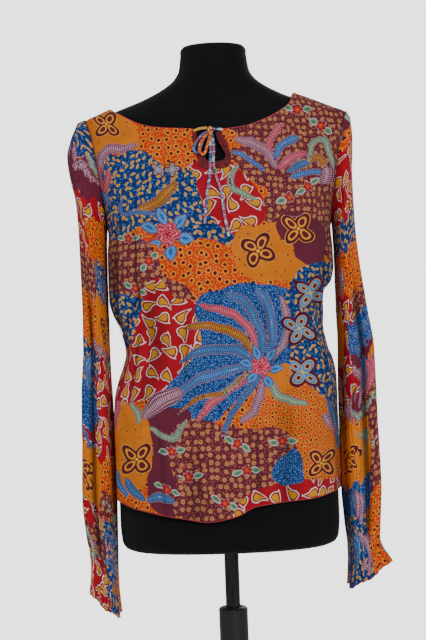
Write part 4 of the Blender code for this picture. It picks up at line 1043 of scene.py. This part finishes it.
def paint_plumes(add, paint):
    """Plumes and leaves over the grounds: a pale rib, slanting barbs and a dark waxed outline."""
    stroke = add("Attribute", attribute_name="plume", attribute_type="GEOMETRY")
    off, along, kind = add("SeparateXYZ", stroke.outputs["Vector"]).outputs
    hue = add("Math MULTIPLY_ADD", kind, 1 / 6, 0.01)
    body, barb = (
        add("ValToRGB", hue, stops=[(k / 6, code) for k, code in enumerate(codes)]) for codes in (
            ("#1c5cae", "#4d8cc8", "#cc2f52", "#8f4a68", "#6a9470", "#d8921e"),
            ("#6fa4dc", "#12407e", "#e88a9a", "#d9b4c2", "#b9ccb4", "#6f2a30")))
    slant = add("Math MULTIPLY_ADD", along, 2.1, add("Math MULTIPLY", off, -5.0))
    feather = over(add, body, add("Math GREATER_THAN", add("Math SINE", slant), 0.35), barb)
    inner = add("Math ABSOLUTE", add("Math SUBTRACT", off, 0.44))
    for compare, place, limit, colour in (
            ("Math LESS_THAN", inner, 0.05, "#571a34"), ("Math LESS_THAN", off, 0.06, "#d8c4c8"),
            ("Math GREATER_THAN", off, 0.76, "#571a34"), ("Math GREATER_THAN", off, 0.90, "#b088a0")):
        feather = over(add, feather, add(compare, place, limit), colour)
    return over(add, paint, add("Math LESS_THAN", off, 1.0), feather)


def folded_petals(add, radius, angle, count):
    """Places along and across the nearest of a flower's petals."""
    turn = add("Math FRACT", add("Math MULTIPLY", angle, count / (2 * math.pi)))
    turn = add("Math MULTIPLY", add("Math SUBTRACT", turn, 0.5), 2 * math.pi / count)
    along, aside = (add("Math MULTIPLY", radius, add(way, turn)) for way in ("Math COSINE", "Math SINE"))
    return along, add("Math ABSOLUTE", aside)


def paint_flowers(add, paint):
    """Flowers over the plumes, in units of their own radius."""
    bloom = add("Attribute", attribute_name="flower", attribute_type="GEOMETRY")
    u, v, kind = add("SeparateXYZ", bloom.outputs["Vector"]).outputs
    radius = add("VectorMath LENGTH", add("CombineXYZ", u, v, 0.0)).outputs["Value"]
    angle = add("Math ARCTAN2", v, u)

    # Four round petals in a thick dark band
    along, aside = folded_petals(add, radius, angle, 4)
    petal = add("CombineXYZ", add("Math MULTIPLY_ADD", along, 1 / 0.39, -0.47 / 0.39),
                add("Math MULTIPLY", aside, 1 / 0.25), 0.0)
    size = add("VectorMath LENGTH", petal).outputs["Value"]
    scaled = add("Math MULTIPLY", size, 0.4)
    gold = add("ValToRGB", scaled, stops=(
        (0.0, "#6a1a2c"), (0.22, "#f2a62c"), (0.33, "#e07a12"), (0.37, "#571430"), (0.57, "#f0a92e")))
    blue = add("ValToRGB", scaled, stops=(
        (0.0, "#6a1a2c"), (0.14, "#e8b038"), (0.20, "#4a8ccc"), (0.38, "#e8b038"), (0.42, "#571430")))
    petals = over(add, blue, add("Math LESS_THAN", kind, 0.5), gold)
    petals = over(add, petals, add("Math LESS_THAN", radius, 0.09), "#f0c040")

    # A full pink bloom ringed by pointed blue leaves
    along, aside = folded_petals(add, radius, angle, 6)
    tip = add("Math MULTIPLY_ADD", along, 1 / 0.35, -0.65 / 0.35)
    leaf = add("Math MULTIPLY_ADD", aside, 1 / 0.22, add("Math MULTIPLY", tip, tip))
    veins = add("Math SINE", add("Math MULTIPLY", along, 60.0))
    leaf = add("Math MULTIPLY_ADD", veins, 0.07, leaf)
    blue_leaves = add("ValToRGB", leaf, stops=(
        (0.0, "#123a7c"), (0.10, "#3f82c8"), (0.45, "#7fb2e0"), (0.56, "#3f82c8"), (0.84, "#6f2a4c")))
    ruffle = add("Math MULTIPLY_ADD", angle, 5.0, add("Math MULTIPLY", radius, 16.0))
    ruffle = add("Math MULTIPLY_ADD", add("Math SINE", ruffle), 0.06, radius)
    pink = add("ValToRGB", ruffle, stops=(
        (0.0, "#b01030"), (0.11, "#e27a88"), (0.15, "#c8304c"), (0.25, "#e8909a"), (0.29, "#b8284a"),
        (0.37, "#dd7484"), (0.40, "#6f1a34")))

    # A rosebud between two sage leaves, edged white
    tip = add("Math MULTIPLY_ADD", add("Math ABSOLUTE", u), 1 / 0.38, -0.62 / 0.38)
    lift = add("Math ABSOLUTE", add("Math MULTIPLY_ADD", u, 0.22, v))
    pair = add("Math MULTIPLY_ADD", lift, 1 / 0.27, add("Math MULTIPLY", tip, tip))
    sage_leaves = add("ValToRGB", pair, stops=(
        (0.0, "#2f5a40"), (0.14, "#6c9272"), (0.68, "#ddd8d4"), (0.90, "#4a1428")))
    rose = add("ValToRGB", ruffle, stops=(
        (0.0, "#d8641f"), (0.12, "#b81426"), (0.27, "#6f0f22"), (0.32, "#c8a0a4")))

    is_open = add("Math LESS_THAN", kind, 1.5)
    is_full = add("Math COMPARE", kind, 2.0, 0.4)
    is_bud = add("Math COMPARE", kind, 3.0, 0.5)
    for place, limit, is_kind, colours in (
            (size, 1.55, is_open, petals), (leaf, 1.0, is_full, blue_leaves),
            (ruffle, 0.43, is_full, pink), (pair, 1.0, is_bud, sage_leaves), (ruffle, 0.36, is_bud, rose)):
        shown = add("Math MULTIPLY", add("Math LESS_THAN", place, limit), is_kind)
        paint = over(add, paint, shown, colours)
    return paint


def printed_crepe(name, shade, crinkle):
    """Hand-drawn batik print on thin crepe: flat dyed colours with uneven waxed edges, matt."""
    material, add, shader = new_material(
        name, Roughness=0.82, Sheen_Weight=0.04, Sheen_Roughness=0.5, Specular_IOR_Level=0.2)
    flat = add("VectorMath SCALE", {0: add("UVMap", uv_map="cut"), "Scale": 1000.0})
    # The drawing hand wavers by about a millimetre over 6 mm, and less round the drops
    tremor = add("TexNoise", {"Vector": flat, "Scale": 1 / 6, "Detail": 1.0}, noise_dimensions="2D")
    drawn, calm = (add("VectorMath MULTIPLY_ADD", tremor.outputs["Color"], (waver, waver, 0.0), flat)
                   for waver in (2.4, 0.9))
    paint = ringed_dots(add, drawn, 13.0, "#57122c", "#dc3c12", "#eda01c")
    fills = {"daisies": daisies(add, drawn), "drops": golden_drops(add, calm),
             "seeds": gold_seeds(add, drawn), "plain": speckled_orange(add, drawn),
             "maroon": "#6a2238", "stipple": stippled(add, drawn),
             "fine": ringed_dots(add, drawn, 8.8, "#681a2c", "#d4481a", "#f0a42a")}
    depths = []
    for key in ("ground_a", "ground_b", "ground_c"):
        ground = add("Attribute", attribute_name=key, attribute_type="GEOMETRY")
        depths += add("SeparateXYZ", ground.outputs["Vector"]).outputs[:]
    for kind, depth in zip(GROUNDS, depths):
        paint = over(add, paint, add("Math LESS_THAN", depth, 0.0), fills[kind])
    crease, from_flower = depths[7:]
    paint = paint_plumes(add, paint)
    near_flower = add("Math LESS_THAN", from_flower, FLOWER_SEEN)
    paint = over(add, paint, near_flower, paint_flowers(add, paint))

    # The dye takes unevenly over a few centimetres; the whole print is scaled by shade, a painted lighter
    # tone where it is above 1, and creases are darkened with painted shade
    dye = add("TexNoise", {"Vector": flat, "Scale": 1 / 28, "Detail": 3.0}, noise_dimensions="2D")
    dye = add("MapRange", {0: dye, 1: 0.3, 2: 0.7, 3: shade * 0.88, 4: shade * 1.04})
    tint = add("Math MULTIPLY", dye, add("Math MULTIPLY_ADD", crease, -CREASE_SHADE, 1.0))
    paint = add("VectorMath SCALE", {0: paint, "Scale": tint})

    # Crepe thread of 0.35 mm is too fine to show, so its grain is drawn 1.2 mm across;
    # crinkled cloth adds lengthwise creases 2.5 mm apart
    weave = add("TexNoise", {"Vector": flat, "Scale": 1 / 1.2, "Detail": 2.0}, noise_dimensions="2D")
    stretched = add("Mapping", {"Vector": drawn, "Scale": (1 / 2.5, 1 / 30, 1.0)})
    streaks = add("TexNoise", {"Vector": stretched, "Scale": 1.0, "Detail": 3.0},
                  noise_dimensions="2D")
    height = add("Math MULTIPLY_ADD", streaks, crinkle, weave)
    bump = add("Bump", {"Strength": 0.6, "Distance": 0.0008, "Height": height})
    feed(shader, {"Base Color": paint, "Normal": bump})
    return material


def jersey():
    """Black cotton-elastane jersey stretched over the form: matt, with a faint blue sheen."""
    material, add, shader = new_material("black knitted jersey", Roughness=0.85, Sheen_Weight=0.06,
                                         Sheen_Roughness=0.45, Specular_IOR_Level=0.2)
    place = add("TexCoord").outputs["Object"]
    # Stitches of 0.9 mm are drawn 1.6 mm across to show
    knit = add("TexNoise", {"Vector": place, "Scale": 1 / 0.0016, "Detail": 2.0})
    tone = add("TexNoise", {"Vector": place, "Scale": 1 / 0.06, "Detail": 3.0})
    stretch = add("Mapping", {"Vector": place, "Scale": (9.0, 9.0, 60.0)})
    tugs = add("TexNoise", {"Vector": stretch, "Scale": 1.0, "Detail": 2.0})
    height = add("Math MULTIPLY_ADD", tugs, 0.8, knit)
    feed(shader, {"Base Color": over(add, "#040407", tone, "#0a0a10"),
                  "Normal": add("Bump", {"Strength": 0.35, "Distance": 0.0006, "Height": height})})
    return material


def thread(name, dark, light):
    """Overlocked or rolled edge in close polyester thread: a slight sheen, fine wraps 1 mm apart."""
    material, add, shader = new_material(name, Roughness=0.6, Sheen_Weight=0.2)
    place = add("TexCoord").outputs["Object"]
    wraps = add("TexNoise", {"Vector": place, "Scale": 1 / 0.0011, "Detail": 1.0})
    feed(shader, {"Base Color": over(add, dark, wraps, light),
                  "Normal": add("Bump", {"Strength": 0.6, "Distance": 0.0003, "Height": wraps})})
    return material


def printed_string(name, colours):
    """Tie turned from an offcut of the printed crepe, so the print's colours pass along it."""
    material, add, shader = new_material(name, Roughness=0.78, Sheen_Weight=0.10,
                                         Specular_IOR_Level=0.25)
    place = add("TexCoord").outputs["Object"]
    # Pieces of the print about 9 mm long, with marks of 2 mm on them
    stretched = add("Mapping", {"Vector": place, "Scale": (30.0, 30.0, 110.0)})
    parts = add("TexNoise", {"Vector": stretched, "Scale": 1.0, "Detail": 0.0})
    later = [(0.30 + 0.40 * k / len(colours), code) for k, code in enumerate(colours)][1:]
    colour = add("ValToRGB", parts, stops=[(0.0, colours[0]), *later])
    marks = add("TexVoronoi", {"Vector": place, "Scale": 1 / 0.0028, "Randomness": 1.0})
    weave = add("TexNoise", {"Vector": place, "Scale": 1 / 0.0012, "Detail": 2.0})
    feed(shader, {"Base Color": over(add, colour, add("Math LESS_THAN", marks, 0.25), "#e4dade"),
                  "Normal": add("Bump", {"Strength": 0.5, "Distance": 0.0004, "Height": weave})})
    return material


def shirred():
    """Facing of dark red crepe drawn up on its seam: matt, in close uneven gathers."""
    material, add, shader = new_material("dark red gathered crepe", Roughness=0.85, Sheen_Weight=0.1)
    # Gathers 3 mm apart run across the strip; painted shade darkens their folds along the same noise as
    # their bump
    place = add("Mapping", {"Vector": add("UVMap", uv_map="cut"), "Scale": (330.0, 60.0, 1.0)})
    tone = add("TexNoise", {"Vector": place, "Scale": 1.0, "Detail": 3.0})
    depth = add("MapRange", {0: tone, 1: 0.35, 2: 0.65})
    feed(shader, {"Base Color": over(add, "#33060f", depth, "#8e1626"),
                  "Normal": add("Bump", {"Strength": 0.9, "Distance": 0.0010, "Height": tone})})
    return material


def chrome():
    """Chromed steel tube, dulled by handling: dark reflections with fine lengthwise wiping marks."""
    material, add, shader = new_material("worn chrome plate", Metallic=1.0)
    place = add("TexCoord").outputs["Object"]
    wiped = add("Mapping", {"Vector": place, "Scale": (600.0, 600.0, 25.0)})
    marks = add("TexNoise", {"Vector": wiped, "Scale": 1.0, "Detail": 3.0})
    feed(shader, {"Base Color": over(add, "#18191b", marks, "#55575a"),
                  "Roughness": add("MapRange", {0: marks, 3: 0.14, 4: 0.34})})
    return material


def black_paint():
    """Powder-coated steel: satin black with a fine orange-peel of about 1.5 mm."""
    material, add, shader = new_material("black powder coat")
    place = add("TexCoord").outputs["Object"]
    peel = add("TexNoise", {"Vector": place, "Scale": 1 / 0.0015, "Detail": 2.0})
    tone = add("TexNoise", {"Vector": place, "Scale": 1 / 0.05, "Detail": 4.0})
    feed(shader, {"Base Color": over(add, "#0d0d0f", tone, "#1c1d20"),
                  "Roughness": add("MapRange", {0: tone, 3: 0.28, 4: 0.50}),
                  "Normal": add("Bump", {"Strength": 0.15, "Distance": 0.0003, "Height": peel})})
    return material


def matt_paper():
    """Pale matt paper on the floor, a little mottled."""
    material, add, shader = new_material("pale matt paper floor", Roughness=0.9)
    grain = add("TexNoise", {"Vector": add("TexCoord").outputs["Object"], "Scale": 30.0})
    feed(shader, {"Base Color": over(add, "#dcdcde", grain, "#e6e6e8")})
    return material


# The camera and the free ends of the tie

def set_camera():
    """The photograph's viewpoint, level with the waist and rolled a little."""
    camera = bpy.data.cameras.new("camera")
    camera.lens, camera.sensor_width = 90.0, 36.0
    obj = bpy.data.objects.new("camera", camera)
    bpy.context.scene.collection.objects.link(obj)
    right = Vector((math.cos(LEAN), 0.0, -math.sin(LEAN)))
    up = Vector((math.sin(LEAN), 0.0, math.cos(LEAN)))
    turned = Matrix((right, up, right.cross(up))).transposed().to_4x4()
    obj.matrix_world = Matrix.Translation((EYE_X, -CAMERA_BACK, EYE_HEIGHT)) @ turned
    bpy.context.scene.camera = obj


set_camera()
warm_string = printed_string("printed crepe tie, warm part",
                             ("#d8501f", "#e08a2a", "#c93a2c", "#d9a23a"))
cool_string = printed_string("printed crepe tie, cool part",
                             ("#a8607a", "#2f6aa8", "#d9c8cc", "#2a5690", "#b25a78"))
mixed_string = printed_string("printed crepe tie, loop",
                              ("#8a5a78", "#3a6ea8", "#2a5690", "#5b8fc4"))
ties = {}
for name, rows, count, material in (
        ("tie_string_right", STRING_RIGHT, 16, warm_string),
        ("tie_string_left", STRING_LEFT, 12, cool_string),
        ("bow_loop_behind", LOOP_BEHIND, 60, mixed_string),
        ("bow_loop_front", LOOP_FRONT, 60, warm_string),
        ("tie_end_long", END_LONG, 40, cool_string),
        ("tie_end_short", END_SHORT, 36, cool_string)):
    path = front_points(curve_through(rows, count))
    ties[name] = tube(name + "_print", path, STRING_WIDTH / 2, keep_curve=True, sides=3)
    dress(ties[name], material, "tie_cloth", name)

clear_selection()
bpy.ops.mesh.primitive_uv_sphere_add(segments=28, ring_count=20, radius=1.0)
knot = bpy.context.object
knot.name = "tie_knot_print"
place = np.empty(len(knot.data.vertices) * 3)
knot.data.vertices.foreach_get("co", place)
place = place.reshape(-1, 3)
wrap = 1 + 0.07 * np.sin(9 * place[:, 2] + 3 * place[:, 0]) - 0.05 * np.abs(np.sin(4 * place[:, 0]))
place = place * wrap[:, None] * np.array(KNOT_HALF) * 0.97 + front_points([KNOT])[0]
knot.data.vertices.foreach_set("co", place.ravel())
knot.data.shade_smooth()
dress(knot, warm_string, "tie_cloth", "tie_knot")

tuple(front_points(END_LONG)[0])
tuple(front_points(END_SHORT)[0])


# The printed cloth

def body_panel(name, shares, hem, front, low_rows, high_rows):
    """A front or back with its print."""
    points = panel_points(shares, hem, front, low_rows, high_rows, SKIN_FROM)
    middle = int(np.argmin(np.abs(shares)))
    flat = flat_places(points, middle)
    if front:
        across, up = seen_from_front(points)
    else:
        across, up = -flat[0] * 1000 - BACK_SHIFT[0], flat[1] * 1000 - BACK_SHIFT[1]
    plain = panel_points(shares, hem, front, low_rows, high_rows, SKIN_FROM, creased=False)
    # Painted shade: the print is darker where the cloth sinks into a crease and along the sharp creases
    sunk = np.linalg.norm(points - plain, axis=-1) * np.sign(
        np.sum(((plain - points) * plain)[..., :2], -1))
    shade = crease_shade(plain[..., 0], plain[..., 2] - FORM_FOOT, front)
    painted_shade = np.maximum(np.clip(sunk / 0.006, 0, 0.8), shade)
    fields = print_fields(across, up, PATCHES, FLOWERS, PLUMES, painted_shade)
    return woven(name, points, flat, fields)


front = body_panel("front_print", column_shares(44, 82, 31), FRONT_HEM, True, 160, 104)
back = body_panel("back_print", column_shares(34, 62, 24), BACK_HEM, False, 130, 84)

# The slit below the neckline
outline = curve_through(SLIT, 60)
outline = np.concatenate([outline, [(outline[-1, 0], SLIT_CUT_TOP), (outline[0, 0], SLIT_CUT_TOP)]])
cutter_mesh = bpy.data.meshes.new("slit_cutter")
corners = [(x, y, FORM_FOOT + z) for y in SLIT_CUT_Y for x, z in outline]
count = len(outline)
faces = [(k, (k + 1) % count, count + (k + 1) % count, count + k) for k in range(count)]
faces += [tuple(range(count))[::-1], tuple(range(count, 2 * count))]
cutter_mesh.from_pydata(corners, [], faces)
cutter = bpy.data.objects.new("slit_cutter", cutter_mesh)
bpy.context.scene.collection.objects.link(cutter)
make_current(cutter)
bpy.ops.object.mode_set(mode="EDIT")
bpy.ops.mesh.select_all(action="SELECT")
bpy.ops.mesh.normals_make_consistent(inside=False)
bpy.ops.object.mode_set(mode="OBJECT")
slit = front.modifiers.new("slit", "BOOLEAN")
slit.operation, slit.solver, slit.object = "DIFFERENCE", "EXACT", cutter
apply_all(front)
bpy.data.objects.remove(cutter)

sleeves = {}
turns = -math.pi / 2 + 2 * math.pi * np.arange(SLEEVE_COLUMNS + 1) / SLEEVE_COLUMNS
for name, sections, side, patches, flowers, plumes in (
        ("sleeve_left", LEFT_SLEEVE, 1, PATCHES_LEFT, FLOWERS_LEFT, PLUMES_LEFT),
        ("sleeve_right", RIGHT_SLEEVE, -1, PATCHES_RIGHT, FLOWERS_RIGHT, PLUMES_RIGHT)):
    points = sleeve_rows(sections, side, turns, SLEEVE_ROWS, SKIN_FROM)
    points[:, -1] = points[:, 0]
    rise = np.linalg.norm(np.diff(points[::-1], axis=0), axis=-1)
    up_sleeve = np.concatenate([0 * points[:1, :, 0], np.cumsum(rise, axis=0)])[::-1] + CUFF_HEIGHT
    along = np.clip(np.arange(len(points)) - HEAD_ROWS, 0, None)[:, None] / SLEEVE_ROWS
    flat_turn, painted_shade, strip = crinkle_print(turns[None, :], along, side)
    # Each crinkle shows its own strip of the print, a little out of line with the next
    across = side * turns[None, :] * SLEEVE_GIRTH / (2 * math.pi) + 4.0 * np.sin(strip * 2.4)
    up = up_sleeve * 1000 + 5.0 * np.sin(strip * 1.7 + 3)
    fields = print_fields(across, up, patches, flowers, plumes, painted_shade)
    cut = (side * flat_turn * SLEEVE_GIRTH / (2000 * math.pi), up_sleeve)
    sleeves[name] = points, side, woven(name + "_print", points, cut, fields, closed=True)

# Finishes of the cloth and what it hides in the frame
body_print = printed_crepe("batik-printed crepe, smooth", 1.0, 0.25)
# The sleeves' copy of the print is painted 12 % lighter than the body's, a painted highlight making up for
# the light they get
sleeve_print = printed_crepe("batik-printed crepe, crinkled, painted lighter", 1.12, 1.6)
dress(front, body_print, "printed_cloth", "front_panel")
dress(back, body_print, "printed_cloth", "back_panel")
for name, (points, side, piece) in sleeves.items():
    dress(piece, sleeve_print, "printed_cloth", name)

# The gathered strip inside the slit
steps = 270
edge, inside = curve_through(SLIT, steps), curve_through(FACING_INSIDE, steps)
to_middle = (inside - edge) / np.linalg.norm(inside - edge, axis=1, keepdims=True)
start = edge - to_middle * 0.0004
facing_rows = []
for share in np.linspace(0.0, 1.0, 9):
    flat_place = start + (inside - start) * share
    flat_place[:, 1] = np.minimum(flat_place[:, 1], FACING_TOP)
    phase = 2 * math.pi * SLIT_GATHERS * np.arange(steps) / steps
    gather = 0.0007 * np.sin(phase + 0.8 * np.sin(phase / 3.7)) * (0.35 + 0.65 * share) + 0.0002
    rolled = -0.0009 * share ** 3
    out = gather + rolled + SKIN_FROM
    facing_rows.append(front_points(np.column_stack([flat_place, out]), 0.0))
facing_rows = np.array(facing_rows)
facing_flat = flat_places(facing_rows, steps // 2)
facing = woven("facing_gathered", facing_rows, facing_flat, {})
dress(facing, shirred(), "facing_cloth", "keyhole_facing")

# Rolled and overlocked edges, and seams
edge_thread = thread("crimson overlock thread", "#8e1222", "#c8283a")
# The seams are real, but their thread is painted dark: painted shade in the gaps along the armholes, the
# sides and the sleeves
seam_in_painted_shade = thread("seam of folded crepe in painted shade", "#2c0d18", "#5a1c28")


def thread_piece(name, points, radius, material, closed=False):
    """A rolled edge or a seam along points of the cloth."""
    piece = tube(name, points, radius, closed)
    piece.data.shade_smooth()
    dress(piece, material, "printed_cloth")


tip = float(smooth(BODY, "height", "plus_x", SHOULDER_TIP))
shares = np.linspace(NECK_PLUS_X / tip, -NECK_MINUS_X / tip, 200)
neck_front = body_skin(shares, top_height(shares, True), True, CLOTH_WALL / 2)
shares = shares[::-1]
neck_back = body_skin(shares, top_height(shares, False), False, CLOTH_WALL / 2)
neck_right = neck_front[neck_front[:, 0] < SLIT[0][0] - EDGE_CLEAR][::-1]
neck_left = neck_front[neck_front[:, 0] > SLIT[-1][0] + EDGE_CLEAR]
for name, points in (("right", neck_right), ("left", neck_left), ("back", neck_back)):
    thread_piece("neck_edge_" + name, points, EDGE_RADIUS, edge_thread)
shares = np.cos(np.linspace(0.0, math.pi, 260))
shares = np.sign(shares) * np.abs(shares) ** SHARE_POWER
hem_front = body_skin(shares, smooth(FRONT_HEM, "share", "height", shares), True, CLOTH_WALL / 2)
shares = shares[::-1]
hem_back = body_skin(shares, smooth(BACK_HEM, "share", "height", shares), False, CLOTH_WALL / 2)
thread_piece("hem_edge", np.concatenate([hem_front, hem_back[1:-1]]), EDGE_RADIUS, edge_thread, True)
for name, (points, side, piece) in sleeves.items():
    thread_piece(name + "_cuff_edge", points[-1, :-1], EDGE_RADIUS, edge_thread, True)
turns = -math.pi / 2 + 2 * math.pi * np.arange(180) / 180
for name, side in (("left", 1), ("right", -1)):
    ring = armhole_ring(side, turns, SEAM_OUT, SEAM_RAISED)
    thread_piece("armhole_seam_" + name, ring, SEAM_RADIUS, seam_in_painted_shade, True)
# Side and sleeve seams in the same painted shade close the thin gaps between the pieces
for name, side in (("left", 1), ("right", -1)):
    height = np.linspace(float(smooth(FRONT_HEM, "share", "height", side)), ARMPIT, 160)
    line = body_skin(np.full_like(height, side), height, True, SEAM_OUT, soft=False)
    thread_piece("side_seam_" + name, line, SIDE_SEAM_RADIUS, seam_in_painted_shade)
for name, (points, side, piece) in sleeves.items():
    line = points[HEAD_ROWS:, 0] - (side * SKIN, 0.0, 0.0)
    thread_piece(name + "_seam", line, SIDE_SEAM_RADIUS, seam_in_painted_shade)

# The dress form
heights = np.concatenate([np.linspace(0.0, 0.014, 8)[:-1], np.linspace(0.014, 0.742, 300)[:-1],
                          np.linspace(0.742, 0.747, 8)])
around = 128
turn = 2 * math.pi * np.arange(around + 1) / around
section = {name: smooth(FORM, "height", name, heights)[:, None] for name in FORM}
cap_seam = 0.0006 * np.exp(-((heights[:, None] - 0.7345) / 0.0012) ** 2)
ring_x = np.sign(np.cos(turn)) * np.abs(np.cos(turn)) ** (2 / section["power"])
ring_y = np.sign(np.sin(turn)) * np.abs(np.sin(turn)) ** (2 / section["power"])
depth = np.where(ring_y > 0, section["back"], section["front"])
rings = np.stack([(section["half_width"] - cap_seam) * ring_x, (depth - cap_seam) * ring_y,
                  np.broadcast_to(heights[:, None], ring_x.shape) + FORM_FOOT], -1)
bore = POLE_RADIUS + 1.2 * SEAM_GAP
circle = np.stack([bore * np.cos(turn), bore * np.sin(turn), 0 * turn + FORM_FOOT], -1)
bore_top = circle + (0.0, 0.0, SOCKET_DEPTH)
foot_centre = [circle + (rings[0] - circle) * share for share in (0.0, 0.25, 0.6, 0.9)]
crown = [rings[-1] * (share, share, 1.0) + (0.0, 0.0, 0.0012 * (1 - share ** 2))
         for share in (0.97, 0.90, 0.7, 0.45, 0.2, 0.0)]
rows = np.array([bore_top * (0.0, 0.0, 1.0), bore_top, *foot_centre, *rings, *crown])
form = woven("form_jersey", rows, (rows[..., 0], rows[..., 2]), {}, closed=True, thickness=0.0)
dress(form, jersey(), "black_jersey", "form_torso")

# The stand keeps its solids
painted = black_paint()
for node, material in (("pole", chrome()), ("stand_tube", painted), ("tube_collar", painted),
                       ("base_plate", painted)):
    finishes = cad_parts[node].data.materials
    finishes.clear()
    finishes.append(material)

# Floor, room light and lamps
bpy.ops.mesh.primitive_circle_add(vertices=96, radius=2.4, fill_type="NGON")
floor = bpy.context.object
floor.name = "floor"
floor.data.materials.append(matt_paper())

world = bpy.data.worlds.new("pale room")
bpy.context.scene.world = world
world.use_nodes = True
room = world.node_tree.nodes["Background"]
# The wall behind is brighter to the eye than the light it gives
seen = add_node(world.node_tree, "LightPath").outputs["Is Camera Ray"]
strength = add_node(world.node_tree, "MapRange", {0: seen, 3: ROOM_LIGHT, 4: WALL_SEEN})
feed(room, {"Color": "#f4f4f4", "Strength": strength})
for name, place, aim, size, power in (
        ("flash", (0.95, -2.5, 1.75), (0.0, 0.0, 1.05), 0.4, 34.0),
        ("window", (-2.4, -1.2, 1.9), (0.0, 0.0, 1.0), 1.4, 16.0),
        ("back_window", (1.2, 2.4, 2.2), (0.0, 0.0, 1.1), 1.6, 22.0)):
    lamp = bpy.data.lights.new(name, "AREA")
    lamp.shape, lamp.size, lamp.energy = "SQUARE", size, power
    holder = bpy.data.objects.new(name, lamp)
    holder.location = place
    holder.rotation_euler = (Vector(aim) - Vector(place)).to_track_quat("-Z", "Y").to_euler()
    bpy.context.scene.collection.objects.link(holder)
